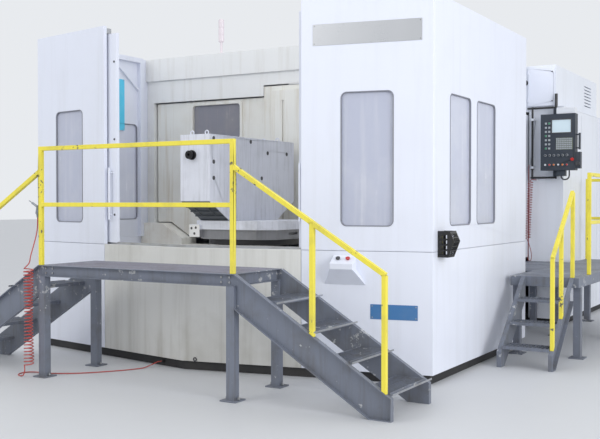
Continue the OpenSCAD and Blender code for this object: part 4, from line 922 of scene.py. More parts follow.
def finish_shapes(sheet: NodeSheet, shapes: object, given: dict, out: dict) -> None:
    """Make shapes real and give them their material.

    Args:
        sheet: Sheet of the group's tree.
        shapes: Socket with the shapes.
        given: Input sockets by name.
        out: Output sockets by name.
    """
    real = sheet.add("GeometryNodeRealizeInstances", {0: shapes}).outputs[0]
    done = sheet.add("GeometryNodeSetMaterial", {"Geometry": real, "Material": given["Material"]}).outputs[0]
    sheet.feed(out["Geometry"], done)


def fill_fasteners(sheet: NodeSheet, given: dict, out: dict) -> None:
    """Set screw heads on the points of a mesh, turned to the points' facing attribute.

    Args:
        sheet: Sheet of the group's tree.
        given: Input sockets by name.
        out: Output sockets by name.
    """
    head = sheet.add("GeometryNodeMeshCone", {
        "Vertices": given["Sides"], "Radius Top": given["Top Radius"], "Radius Bottom": given["Radius"],
        "Depth": given["Height"],
    }).outputs[0]
    facing = sheet.add("GeometryNodeInputNamedAttribute", {0: "facing"}, data_type="FLOAT_VECTOR").outputs[0]
    turn = sheet.add("FunctionNodeAlignRotationToVector", {"Vector": facing}, axis="Z").outputs[0]
    points = sheet.add("GeometryNodeMeshToPoints", {0: given["Geometry"]}).outputs[0]
    heads = sheet.add("GeometryNodeInstanceOnPoints", {"Points": points, "Instance": head, "Rotation": turn})
    finish_shapes(sheet, heads.outputs[0], given, out)


def fill_wires(sheet: NodeSheet, given: dict, out: dict) -> None:
    """Run round wires or tubes along the edges of a mesh.

    Args:
        sheet: Sheet of the group's tree.
        given: Input sockets by name.
        out: Output sockets by name.
    """
    line = sheet.add("GeometryNodeMeshToCurve", {0: given["Geometry"]}).outputs[0]
    section = {"Resolution": given["Sides"], "Radius": given["Radius"]}
    ring = sheet.add("GeometryNodeCurvePrimitiveCircle", section).outputs[0]
    tube = sheet.add("GeometryNodeCurveToMesh", {"Curve": line, "Profile Curve": ring, "Fill Caps": True})
    soft = sheet.add("GeometryNodeSetShadeSmooth", {"Geometry": tube.outputs[0]}).outputs[0]
    finish_shapes(sheet, soft, given, out)


FASTENERS = NodeGroup(
    "Fasteners", "GeometryNodeTree",
    (
        Socket("Geometry", "Geometry"), Socket("Radius", "Float", 0.008),
        Socket("Top Radius", "Float", 0.006), Socket("Height", "Float", 0.005), Socket("Sides", "Int", 12),
        Socket("Material", "Material"),
    ),
    (Socket("Geometry", "Geometry"),), fill_fasteners,
)
WIRES = NodeGroup(
    "Wires", "GeometryNodeTree",
    (
        Socket("Geometry", "Geometry"), Socket("Radius", "Float", 0.002), Socket("Sides", "Int", 8),
        Socket("Material", "Material"),
    ),
    (Socket("Geometry", "Geometry"),), fill_wires,
)


def run_group(
    name: str, group: NodeGroup, mesh: bpy.types.Mesh, values: dict, finish: Finish, body: str
) -> None:
    """Run a geometry node group on a mesh and keep the result as a piece.

    Args:
        name: Name of the piece.
        group: Geometry node group.
        mesh: Mesh that it works on.
        values: Input name to value.
        finish: Finish of the piece.
        body: Body that carries it.
    """
    obj = placed(name + "_raw", mesh)
    modifier = obj.modifiers.new("made", "NODES")
    modifier.node_group = group.tree()
    values = {**values, "Material": finish.material()}
    for socket in modifier.node_group.interface.items_tree:
        if socket.item_type == "SOCKET" and socket.in_out == "INPUT" and socket.name in values:
            modifier[socket.identifier] = values[socket.name]
    new_object(name, baked(obj, name), finish, body)


def fasteners(
    name: str, places: Sequence[tuple[Sequence[float], Sequence[float]]], finish: Finish, body: str,
    radius: float, height: float, sides: int, taper: float,
) -> None:
    """Set screw heads on a surface.

    Args:
        name: Name of the piece.
        places: Middle and outward direction of each head.
        finish: Finish of the heads.
        body: Body that carries them.
        radius: Radius of a head.
        height: Height of a head.
        sides: Sides of a head.
        taper: Share of the radius at the top.
    """
    mesh = bpy.data.meshes.new(name + "_points")
    mesh.from_pydata([tuple(p) for p, _ in places], [], [])
    facing = mesh.attributes.new("facing", "FLOAT_VECTOR", "POINT")
    facing.data.foreach_set("vector", [c for _, way in places for c in Vector(way).normalized()])
    values = {"Radius": radius, "Top Radius": radius * taper, "Height": height, "Sides": sides}
    run_group(name, FASTENERS, mesh, values, finish, body)


def wire(
    name: str, line: Sequence[Sequence[float]], finish: Finish, body: str, radius: float, sides: int
) -> None:
    """Run a wire or a tube along a line.

    Args:
        name: Name of the piece.
        line: Points of the line.
        finish: Its finish.
        body: Body that carries it.
        radius: Its radius.
        sides: Its side faces.
    """
    mesh = bpy.data.meshes.new(name + "_lines")
    mesh.from_pydata([tuple(p) for p in line], [(i, i + 1) for i in range(len(line) - 1)], [])
    run_group(name, WIRES, mesh, {"Radius": radius, "Sides": sides}, finish, body)


def smooth_line(points: Sequence[Sequence[float]], steps: int) -> list[Vector]:
    """Run a smooth line through points.

    Args:
        points: Points of the line.
        steps: Steps between two points.

    Returns:
        Points of the smooth line.
    """
    p = [Vector(q) for q in points]
    p = [2 * p[0] - p[1], *p, 2 * p[-1] - p[-2]]
    line = []
    for i in range(1, len(p) - 2):
        for k in range(steps):
            t = k / steps
            line.append(0.5 * (
                2 * p[i] + (p[i + 1] - p[i - 1]) * t
                + (2 * p[i - 1] - 5 * p[i] + 4 * p[i + 1] - p[i + 2]) * t * t
                + (3 * p[i] - 3 * p[i + 1] + p[i + 2] - p[i - 1]) * t ** 3
            ))
    return [*line, p[-2]]


@dataclass
class Studio:
    """Camera at the photograph's place, soft light and a pale floor.

    Attributes:
        eye: Place of the camera.
        heading: Direction of view on the floor.
        pitch: Degrees below the horizon.
        focal_px: Focal length in pixels of the photograph.
        width_px: Width of the photograph.
        sensor: Width of the camera's sensor in millimetres.
        seen_sky: Strength of the sky where it is seen, directly or in gloss and glass.
        lighting_sky: Strength of the sky where it lights the scene.
        floor_half: Half of the floor's side.
    """

    eye: Point = (5.372, -7.452, 1.577)
    heading: tuple[float, float] = (-0.50432, 0.86352)
    pitch: float = 1.06
    focal_px: float = 931.0
    width_px: float = 600.0
    sensor: float = 36.0
    seen_sky: float = 0.86
    lighting_sky: float = 0.92
    floor_half: float = 60.0

    def camera(self) -> None:
        """Make the camera."""
        data = bpy.data.cameras.new("camera")
        data.sensor_width = self.sensor
        data.lens = self.focal_px / self.width_px * self.sensor
        data.clip_end = 200.0
        cam = placed("camera", data)
        tilt = math.radians(self.pitch)
        way = Vector((self.heading[0] * math.cos(tilt), self.heading[1] * math.cos(tilt), -math.sin(tilt)))
        cam.location = self.eye
        cam.rotation_euler = way.to_track_quat("-Z", "Y").to_euler()
        bpy.context.scene.camera = cam

    def lamp(self, name: str, place: Point, target: Point, size: float, power: float, color: Color) -> None:
        """Add a square area lamp.

        Args:
            name: Name of the lamp.
            place: Where it hangs.
            target: Point that it looks at.
            size: Side of the square.
            power: Power in watts.
            color: Colour of its light.
        """
        data = bpy.data.lights.new(name, "AREA")
        data.size = size
        data.energy = power
        data.color = color
        lamp = placed(name, data)
        lamp.location = place
        lamp.rotation_euler = (Vector(target) - Vector(place)).to_track_quat("-Z", "Y").to_euler()

    def light(self) -> None:
        """Light the scene from above and from both front sides, under an even sky."""
        for name, place, target, size, power, color in (
            ("key", (-3.5, -9.5, 7.5), (0.0, 1.0, 1.8), 6.0, 240.0, (1.0, 0.99, 0.97)),
            ("fill", (13.0, -4.0, 4.2), (1.5, 2.0, 1.5), 6.0, 615.0, (0.98, 0.985, 1.0)),
            ("top", (0.0, 1.0, 9.5), (0.0, 1.0, 0.0), 8.0, 90.0, (1.0, 1.0, 1.0)),
        ):
            self.lamp(name, place, target, size, power, color)
        world = bpy.data.worlds.new("studio")
        bpy.context.scene.world = world
        world.use_nodes = True
        world.node_tree.nodes.clear()
        sheet = NodeSheet(world.node_tree)
        path = sheet.add("ShaderNodeLightPath")
        seen = sheet.math("MAXIMUM", path.outputs["Is Camera Ray"], path.outputs["Is Transmission Ray"])
        seen = sheet.math("MAXIMUM", seen, path.outputs["Is Glossy Ray"])
        strength = sheet.remap(seen, 0.0, 1.0, self.lighting_sky, self.seen_sky)
        sky = sheet.add("ShaderNodeBackground", {"Color": (0.94, 0.965, 1.0), "Strength": strength})
        sheet.feed(sheet.add("ShaderNodeOutputWorld").inputs["Surface"], sky.outputs[0])
        bpy.context.scene.view_settings.view_transform = "Standard"

    def floor(self) -> None:
        """Lay the floor."""
        mesh = bpy.data.meshes.new("floor")
        half = self.floor_half
        mesh.from_pydata(
            [(-half, -half, 0), (half, -half, 0), (half, half, 0), (-half, half, 0)], [], [(0, 1, 2, 3)]
        )
        obj = placed("floor", mesh)
        mesh.materials.append(FLOOR.material())


@dataclass
class Covers:
    """Places on the station's folded front, read from the frame.

    Attributes:
        half: Half of the station's width.
        bulge: How far the front comes forward in the middle.
        wall: Thickness of the covers.
    """

    half: float
    bulge: float
    wall: float = 0.040

    @classmethod
    def from_frame(cls) -> "Covers":
        """Read the covers' sizes from the solids.

        Returns:
            The covers.
        """
        return cls(half=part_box("right_side_wall")[1].x, bulge=-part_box("center_skirt")[0].y)

    def facet_frame(self, side: int) -> Matrix:
        """Frame of a front facet: x from its outer corner to the middle, y outwards, z up.

        Args:
            side: 1 for the right facet, -1 for the left one.

        Returns:
            The frame.
        """
        length = math.hypot(self.half, self.bulge)
        cos, sin = self.half / length, self.bulge / length
        return Matrix((
            (-cos * side, sin * side, 0.0, self.half * side), (-sin, -cos, 0.0, 0.0),
            (0.0, 0.0, 1.0, 0.0), (0.0, 0.0, 0.0, 1.0),
        ))

    def inner_wall_frame(self) -> Matrix:
        """Frame of the left side wall's inner face: x backwards, y to the right, z up.

        Returns:
            The frame.
        """
        return Matrix((
            (0.0, 1.0, 0.0, self.wall - self.half), (1.0, 0.0, 0.0, 0.0),
            (0.0, 0.0, 1.0, 0.0), (0.0, 0.0, 0.0, 1.0),
        ))


def head_places(
    frame: Matrix, spots: Iterable[tuple[float, float]], out: float
) -> list[tuple[Vector, Vector]]:
    """Places for screw heads on a flat face.

    Args:
        frame: Frame of the face, with y outwards.
        spots: Places along x and z.
        out: Height above the face.

    Returns:
        Point and outward direction of each head.
    """
    way = frame.to_3x3() @ Vector((0, 1, 0))
    return [(frame @ Vector((x, out, z)), way) for x, z in spots]


@dataclass
class CoverTrim:
    """Bare plates with their rivets, and the bolts of the load doors.

    Attributes:
        covers: Places on the covers.
        silver: First, last, lower and upper edge of the silver plate, from the right facet's outer corner.
        blue: The same for the blue plate.
        cyan: Front, back, lower and upper edge of the cyan plate on the inner left wall.
        plate_t: Thickness of the plates.
        plate_gap: Gap between a plate and its face.
        bolt_heights: Heights of the bolts on a load door.
        bolt_inset: Distance of the bolts from the door's leading edge.
        bolt_depth: Depth of the bolts behind the facet.
    """

    covers: Covers
    silver: tuple[float, ...] = (0.097, 1.087, 2.968, 3.157)
    blue: tuple[float, ...] = (0.132, 0.554, 0.554, 0.685)
    cyan: tuple[float, ...] = (1.236, 1.391, 2.462, 3.087)
    plate_t: float = 0.003
    plate_gap: float = 0.0002
    bolt_heights: tuple[float, ...] = (3.01, 2.22, 1.45)
    bolt_inset: float = 0.055
    bolt_depth: float = 0.058

    def plate(
        self, name: str, edges: tuple[float, ...], finish: Finish, frame: Matrix, margin: float, lift: float
    ) -> None:
        """Rivet a bare plate on a face.

        Args:
            name: Name of the piece.
            edges: First, last, lower and upper edge.
            finish: Finish of the plate.
            frame: Frame of the face, with y outwards.
            margin: Distance of a rivet from the edges.
            lift: Height of a rivet's middle above the plate.
        """
        x0, x1, z0, z1 = edges
        pen = MeshPen()
        pen.box((x0, self.plate_gap, z0), (x1, self.plate_t, z1), frame)
        pen.piece(name, finish, ENCLOSURE, bevel=0.001)
        corners = [(x, z) for x in (x0 + margin, x1 - margin) for z in (z0 + margin, z1 - margin)]
        places = head_places(frame, corners, self.plate_t + lift)
        fasteners(
            name + "_rivets", places, BOLT, ENCLOSURE, radius=0.006, height=0.0025, sides=12, taper=0.5
        )

    def build(self) -> None:
        """Build the trim."""
        facet = self.covers.facet_frame(1)
        wall = self.covers.inner_wall_frame()
        self.plate("silver_plate", self.silver, SILVER, facet, margin=0.016, lift=0.0008)
        self.plate("blue_plate", self.blue, BLUE, facet, margin=0.016, lift=0.0008)
        self.plate("cyan_plate", self.cyan, CYAN, wall, margin=0.015, lift=0.001)
        for side, node, body in ((-1, "left_load_door", "left_door"), (1, "right_load_door", "right_door")):
            self.door_bolts(side, node, body)

    def door_bolts(self, side: int, node: str, body: str) -> None:
        """Set black bolts on the leading strip of a load door.

        Args:
            side: 1 for the right door, -1 for the left one.
            node: Node of the door.
            body: Body that carries it.
        """
        low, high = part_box(node)
        across = self.covers.half - abs(high.x if side < 0 else low.x)
        along = across / math.cos(math.atan2(self.covers.bulge, self.covers.half)) - self.bolt_inset
        spots = [(along, z) for z in self.bolt_heights]
        places = head_places(self.covers.facet_frame(side), spots, -self.bolt_depth)
        fasteners(node + "_bolts", places, BLACK, body, radius=0.012, height=0.006, sides=16, taper=0.7)


@dataclass
class PlatformTrim:
    """Anchors, bolts and bright tread edges of the front platform.

    Attributes:
        leg: Side of a leg.
        leg_gap: Distance of a leg behind the channel's outer edge.
        channel: Width of the channel round the deck, with its gap.
        web: Distance of the channel's web behind its outer edge.
        anchor: Distance of an anchor from its leg's middle.
        foot_t: Thickness of a foot plate.
        bolts_in: Distances of the channel's bolts from the deck's ends.
        bolts_down: Distances of the channel's bolts below the deck's top.
        treads: Treads of one flight.
        run: Length of the slope on the floor.
        foot: Height of the slope's lower end.
        drop: Distance of a tread below the slope's line.
        half_tread: Half of a tread's depth.
        stringer: Width of a stringer, with its gap.
        nosing: Height of a tread's bright edge.
        nosing_t: Thickness of a tread's bright edge.
    """

    leg: float = 0.075
    leg_gap: float = 0.002
    channel: float = 0.0453
    web: float = 0.039
    anchor: float = 0.057
    foot_t: float = 0.012
    bolts_in: tuple[float, ...] = (0.02, 0.10)
    bolts_down: tuple[float, ...] = (0.030, 0.070)
    treads: int = 4
    run: float = 1.356
    foot: float = 0.167
    drop: float = 0.060
    half_tread: float = 0.125
    stringer: float = 0.047
    nosing: float = 0.014
    nosing_t: float = 0.004

    def build(self) -> None:
        """Build the trim."""
        self.anchors()
        self.joint_bolts()
        low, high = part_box("platform_frame")
        self.tread_edges("right_stairs_edges", 1, high.x)
        self.tread_edges("left_stairs_edges", -1, low.x)

    def anchors(self) -> None:
        """Set hex nuts and threaded ends on the foot plates."""
        low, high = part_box("platform_deck")
        inset = self.leg / 2 + self.leg_gap - self.channel
        legs = [(x, y) for x in (low.x + inset, high.x - inset) for y in (low.y + inset, high.y - inset)]
        spots = [(x + side * self.anchor, y) for x, y in legs for side in (-1, 1)]
        for name, above, radius, height, sides, taper in (
            ("anchor_nuts", 0.006, 0.011, 0.011, 6, 1.0), ("anchor_ends", 0.014, 0.006, 0.012, 10, 0.9),
        ):
            places = [((x, y, self.foot_t + above), (0, 0, 1)) for x, y in spots]
            fasteners(name, places, BOLT, ENCLOSURE, radius, height, sides, taper)

    def joint_bolts(self) -> None:
        """Set bolts where stairs and legs meet the front channel."""
        low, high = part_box("platform_deck")
        front = low.y - self.channel + self.web
        ends = [x for end, way in ((low.x, 1), (high.x, -1)) for x in (end + way * d for d in self.bolts_in)]
        places = [((x, front, high.z - down), (0, -1, 0)) for x in ends for down in self.bolts_down]
        fasteners(
            "platform_bolts", places, BOLT, ENCLOSURE, radius=0.010, height=0.007, sides=6, taper=0.95
        )

    def tread_edges(self, name: str, side: int, edge: float) -> None:
        """Lay the bright front edges of the treads.

        Args:
            name: Name of the piece.
            side: 1 where the stairs run down to the right, -1 to the left.
            edge: Place of the platform's end.
        """
        low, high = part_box("platform_frame")
        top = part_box("platform_deck")[1].z
        slope, rise = (top - self.foot) / self.run, top / (self.treads + 1)
        pen = MeshPen()
        for k in range(1, self.treads + 1):
            x = edge + side * ((k * rise - self.drop) / slope + self.half_tread)
            z = top - k * rise
            x0, x1 = sorted((x, x + side * self.nosing_t))
            pen.box((x0, low.y + self.stringer, z - self.nosing), (x1, high.y - self.stringer, z))
        pen.piece(name, STEEL, ENCLOSURE, bevel=0.0008, segments=1)


@dataclass
class PendantTrim:
    """Caps, panels and conduit of the control pendant.

    Places are read from the pendant's left edge, its face and its lower edge.

    Attributes:
        margin: Width of the screen's bezel.
        bezel_y: Distances of the bezel's front and back before the pendant's face.
        screen_x: Distance of the screen from the left edge.
        screen_z: Its height above the lower edge.
        face: Distance of the screen's front behind the pendant's face.
        key_panel: Left, right, lower and upper edge of the key panel.
        key_panel_y: Its front and back, behind the face.
        cap: Left, right, lower and upper edge of the white cap on the top.
        cap_y: Its front and back, behind the face.
        knobs: First place of the knobs, their pitch and their number.
        rows: Heights of the row of buttons and of the row of knobs.
        keys: First place of the keys along the face and up, and their pitches.
        lit_keys: Column and row of the keys with a green cap.
        conduit: Points of the conduit, from the middle of the cable box's underside.
        conduit_at: Middle of the cable box's underside.
    """

    margin: float = 0.012
    bezel_y: tuple[float, float] = (0.005, 0.0003)
    screen_x: float = 0.1433
    screen_z: float = 0.4703
    face: float = 0.004
    key_panel: tuple[float, ...] = (0.1905, 0.3995, 0.2555, 0.4045)
    key_panel_y: tuple[float, float] = (0.0050, 0.0059)
    cap: tuple[float, ...] = (0.1905, 0.4255, 0.7025, 0.7785)
    cap_y: tuple[float, float] = (0.0185, 0.1215)
    knobs: tuple[float, float, int] = (0.062, 0.054, 6)
    rows: tuple[float, float] = (0.069, 0.187)
    keys: tuple[float, ...] = (0.068, 0.274, 0.042, 0.052)
    lit_keys: tuple[tuple[int, int], ...] = ((0, 0), (0, 3), (1, 6))
    conduit: tuple[Point, ...] = (
        (0.0, 0.0, 0.004), (0.0, 0.0, -0.018), (0.025, 0.004, -0.042), (0.065, 0.008, -0.040),
        (0.092, 0.010, -0.010), (0.095, 0.010, 0.072),
    )
    conduit_at: Point = (0.245, 0.070, -0.070)

    def build(self) -> None:
        """Build the trim."""
        low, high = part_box("pendant_screen")
        corner = Vector((low.x - self.screen_x, low.y - self.face, low.z - self.screen_z))
        self.bezel(low, high, corner.y)
        self.slab("pendant_key_panel", self.key_panel, self.key_panel_y, corner, KEY_PANEL, bevel=0.0)
        self.slab("pendant_cap", self.cap, self.cap_y, corner, PENDANT_WHITE, bevel=0.006)
        self.caps(corner)
        line = smooth_line([corner + Vector(self.conduit_at) + Vector(p) for p in self.conduit], 4)
        wire("pendant_conduit", line, BLACK, PENDANT_BODY, radius=0.009, sides=12)

    def slab(
        self, name: str, edges: tuple[float, ...], depth: tuple[float, float], corner: Vector, finish: Finish,
        bevel: float,
    ) -> None:
        """Lay a slab on the pendant.

        Args:
            name: Name of the piece.
            edges: Left, right, lower and upper edge.
            depth: Its front and back, behind the face.
            corner: The pendant's lower left corner.
            finish: Its finish.
            bevel: Width of its rounded edges, or 0.
        """
        x0, x1, z0, z1 = edges
        pen = MeshPen()
        pen.box(corner + Vector((x0, depth[0], z0)), corner + Vector((x1, depth[1], z1)))
        pen.piece(name, finish, PENDANT_BODY, bevel, segments=3)

    def bezel(self, low: Vector, high: Vector, front: float) -> None:
        """Frame the screen.

        Args:
            low: Lowest corner of the screen.
            high: Highest corner of the screen.
            front: Place of the pendant's face.
        """
        m = self.margin
        pen = MeshPen()
        for x0, x1, z0, z1 in (
            (low.x - m, high.x + m, high.z, high.z + m), (low.x - m, high.x + m, low.z - m, low.z),
            (low.x - m, low.x, low.z, high.z), (high.x, high.x + m, low.z, high.z),
        ):
            pen.box((x0, front - self.bezel_y[0], z0), (x1, front - self.bezel_y[1], z1))
        pen.piece("screen_bezel", BLACK, PENDANT_BODY, bevel=0.001)

    def caps(self, corner: Vector) -> None:
        """Colour the push buttons, the knobs and three of the keys.

        Args:
            corner: The pendant's lower left corner.
        """
        first, pitch, count = self.knobs
        knobs = [first + i * pitch for i in range(count)]
        low_row, knob_row = self.rows
        key_x, key_z, pitch_x, pitch_z = self.keys
        knob_proud, key_proud = 0.014, 0.010
        lit = [(key_x + i * pitch_x, key_z + j * pitch_z) for i, j in self.lit_keys]
        for name, finish, proud, spots in (
            ("red_caps", RED, knob_proud, [(knobs[i], low_row) for i in (1, 5)]),
            ("amber_caps", AMBER, knob_proud, [(knobs[i], low_row) for i in (2, 4)]),
            ("white_caps", PENDANT_WHITE, knob_proud, [(knobs[i], low_row) for i in (0, 3)]),
            ("black_caps", BLACK, knob_proud, [(x, knob_row) for x in knobs]),
            ("green_caps", GREEN, key_proud, lit),
        ):
            places = [(corner + Vector((x, -proud, z)), (0, -1, 0)) for x, z in spots]
            fasteners(
                name, places, finish, PENDANT_BODY, radius=0.0115, height=0.006, sides=20, taper=0.85
            )


@dataclass
class CabinetTrim:
    """Lock slots and cable gland of the upper cabinet.

    Attributes:
        lock_in: Distance of the locks from the door's edge.
        lock_up: Distance of the locks from its lower and upper edge.
        lock_proud: Distance of a lock's middle before the door.
        gland: Place of the gland along the wall, and its height.
    """

    lock_in: float = 0.030
    lock_up: float = 0.060
    lock_proud: float = 0.0015
    gland: tuple[float, float] = (1.808, 3.117)

    def build(self) -> None:
        """Build the trim."""
        low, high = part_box("cabinet_door")
        slots = [
            ((high.x - self.lock_in, low.y - self.lock_proud, z), (0, -1, 0))
            for z in (low.z + self.lock_up, high.z - self.lock_up)
        ]
        fasteners(
            "cabinet_locks", slots, BLACK, "cabinet_door", radius=0.009, height=0.004, sides=20, taper=0.8
        )
        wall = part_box("upper_cabinet")[0].y
        x, z = self.gland
        out, gap, collar = (0, -1, 0), 0.0003, 0.018
        pen = MeshPen()
        pen.drum((x, wall - gap, z), out, length=collar, r0=0.034, r1=0.030, sides=32)
        pen.drum((x, wall - collar, z), out, length=0.012, r0=0.020, r1=0.017, sides=24)
        pen.piece("cabinet_gland", BLACK, ENCLOSURE, bevel=0.001)


@dataclass
class FixtureTrim:
    """Plugs, clamp cover and ribbed underside of the angle plate.

    Attributes:
        holes: Tapped holes of the long face, as distance from the near end and height above the foot.
        slope_run: Length of the slope under the near end.
        slope_rise: Rise of that slope.
        cover: Left, right, lower and upper edge of the clamp cover.
        cover_y: Front and back of the clamp cover.
        screws: Places of its screws, along x and z.
        sunk: Distance of a plug's or a screw's middle from its face.
        sides: Left and right edge of the underside's plate.
        ribs: Places of its cross ribs up the slope.
        stays: Places of its long ribs along x.
    """

    holes: tuple[tuple[float, float], ...] = (
        (0.068, 0.820), (0.068, 0.588), (0.068, 0.428), (0.732, 0.820), (0.945, 0.442), (1.064, 0.716),
        (1.460, 0.721),
    )
    slope_run: float = 0.345
    slope_rise: float = 0.199
    cover: tuple[float, ...] = (-0.4595, -0.3305, 1.2205, 1.3475)
    cover_y: tuple[float, float] = (0.2682, 0.2697)
    screws: tuple[tuple[float, float], ...] = ((-0.432, 1.310), (-0.378, 1.316), (-0.396, 1.256))
    sunk: float = 0.0005
    sides: tuple[float, float] = (-0.352, -0.008)
    ribs: tuple[float, ...] = (0.11, 0.20, 0.29)
    stays: tuple[float, ...] = (-0.270, -0.100)

    def build(self) -> None:
        """Build the trim."""
        low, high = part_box("angle_plate")
        plugs = [((high.x - self.sunk, low.y + y, low.z + z), (1, 0, 0)) for y, z in self.holes]
        fasteners(
            "fixture_plugs", plugs, BLACK, PALLET_BODY, radius=0.021, height=0.003, sides=20, taper=1.0
        )
        self.clamp_cover()
        self.underside(low.y, low.z)

    def clamp_cover(self) -> None:
        """Put the white cover and its three black screws on the clamp block."""
        x0, x1, z0, z1 = self.cover
        front, back = self.cover_y
        pen = MeshPen()
        pen.box((x0, front, z0), (x1, back, z1))
        pen.piece("clamp_cover", WHITE_BLOCK, PALLET_BODY, bevel=0.0006, segments=1)
        spots = [((x, front - self.sunk, z), (0, -1, 0)) for x, z in self.screws]
        fasteners(
            "clamp_screws", spots, BLACK, PALLET_BODY, radius=0.0135, height=0.003, sides=16, taper=0.8
        )

    def underside(self, end: float, foot: float) -> None:
        """Line the slope under the near end with a dark ribbed plate.

        Args:
            end: Place of the plate's near end.
            foot: Height of the plate's foot.
        """
        length = math.hypot(self.slope_run, self.slope_rise)
        cos, sin = self.slope_run / length, self.slope_rise / length
        place = Matrix((
            (1.0, 0.0, 0.0, 0.0), (0.0, -cos, -sin, end + self.slope_run), (0.0, sin, -cos, foot),
            (0.0, 0.0, 0.0, 1.0),
        ))
        x0, x1 = self.sides
        first, last, gap, plate_t = 0.014, length - 0.008, 0.0003, 0.0035
        base, rib_w, rib_top, stay_w, stay_top = 0.003, 0.012, 0.016, 0.010, 0.014
        pen = MeshPen()
        pen.box((x0, first, gap), (x1, last, plate_t), place)
        for along in self.ribs:
            pen.box((x0, along, base), (x1, along + rib_w, rib_top), place)
        for across in self.stays:
            pen.box((across, self.ribs[0], base), (across + stay_w, self.ribs[-1] + rib_w, stay_top), place)
        pen.piece("fixture_underside", CHANGER, PALLET_BODY, bevel=0.001, segments=1)


@dataclass
class SkirtTrim:
    """Hose ring low on the middle of the skirt.

    Attributes:
        middle: Middle of the ring.
        radius: Radius of its middle line.
        steps: Straight lengths round the ring.
    """

    middle: Point = (0.136, -0.440, 0.106)
    radius: float = 0.016
    steps: int = 20

    def build(self) -> None:
        """Build the trim."""
        x, y, z = self.middle
        angles = [2 * math.pi * i / self.steps for i in range(self.steps + 1)]
        ring = [(x + self.radius * math.cos(a), y, z + self.radius * math.sin(a)) for a in angles]
        wire("skirt_ring", ring, BLACK, ENCLOSURE, radius=0.005, sides=8)


@dataclass
class BinTrim:
    """Wire rim of the document bin.

    Attributes:
        depth: Depth of the bin's top.
        back: Distance of the rim's ends from the wall side.
    """

    depth: float = 0.112
    back: float = 0.003

    def build(self) -> None:
        """Build the trim."""
        low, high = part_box("document_bin")
        wall, out = low.x + self.back, low.x + self.depth
        rim = [(wall, low.y, high.z), (out, low.y, high.z), (out, high.y, high.z), (wall, high.y, high.z)]
        wire("bin_rim", rim, WIRE, ENCLOSURE, radius=0.003, sides=8)


@dataclass
class FrontHose:
    """Air line from the plinth over the floor and up a spiral to the blow gun.

    Attributes:
        radius: Radius of the hose.
        coil_radius: Radius of the spiral's middle line.
        coil_foot: Lower end of the spiral's axis.
        coil_top: Height of its upper end.
        turns: Turns of the spiral.
        steps: Points of one turn.
        first_angle: Angle of the spiral's first point.
        squeeze: Half of the share by which the turns are narrower half way up.
        floor_run: Points from the plinth over the floor.
        lift: Point between the floor and the spiral.
        drop: Points from the spiral to the gun.
    """

    radius: float = 0.005
    coil_radius: float = 0.042
    coil_foot: Point = (-0.962, -1.456, 0.110)
    coil_top: float = 0.980
    turns: int = 29
    steps: int = 16
    first_angle: float = math.radians(200)
    squeeze: float = 0.08
    lift: Point = (-0.990, -1.480, 0.060)
    floor_run: tuple[Point, ...] = (
        (-0.2986, -0.3935, 0.045), (-0.308, -0.442, 0.044), (-0.323, -0.515, 0.026), (-0.342, -0.590, 0.009),
        (-0.370, -0.660, 0.006), (-0.430, -0.780, 0.006), (-0.510, -0.900, 0.006), (-0.600, -1.020, 0.006),
        (-0.700, -1.120, 0.006), (-0.800, -1.190, 0.006), (-0.900, -1.240, 0.006), (-1.000, -1.260, 0.006),
        (-1.080, -1.270, 0.006), (-1.140, -1.310, 0.006), (-1.150, -1.380, 0.006), (-1.110, -1.444, 0.006),
        (-1.050, -1.472, 0.006), (-1.005, -1.480, 0.018),
    )
    drop: tuple[Point, ...] = (
        (-0.957, -1.452, 1.030), (-0.949, -1.438, 1.100), (-0.938, -1.414, 1.190), (-0.927, -1.387, 1.300),
        (-0.924, -1.378, 1.390), (-0.924, -1.378, 1.440),
    )

    def spiral(self) -> list[Point]:
        """Points of the spiral, from its foot upwards.

        Returns:
            The points.
        """
        x, y, z = self.coil_foot
        total = self.turns * self.steps
        points = []
        for i in range(total + 1):
            share = i / total
            angle = self.first_angle + 2 * math.pi * i / self.steps
            r = self.coil_radius * (1.0 - self.squeeze + self.squeeze * math.cos(2 * math.pi * share))
            points.append((x + r * math.cos(angle), y + r * math.sin(angle), z + (self.coil_top - z) * share))
        return points

    def build(self, frame: dict) -> None:
        """Lay the hose as one cord.

        Args:
            frame: The loaded frame; not used.
        """
        coil = self.spiral()
        run = smooth_line(self.floor_run, 4)
        lift = smooth_line([self.floor_run[-1], self.lift, coil[0]], 4)
        drop = smooth_line([coil[-1], *self.drop], 5)
        line = [*run, *lift[1:-1], *(Vector(p) for p in coil), *drop[1:]]
        lay_hose("air_hose_line", line, self.radius, ("air_hose", "hose_coil"), HOSE)


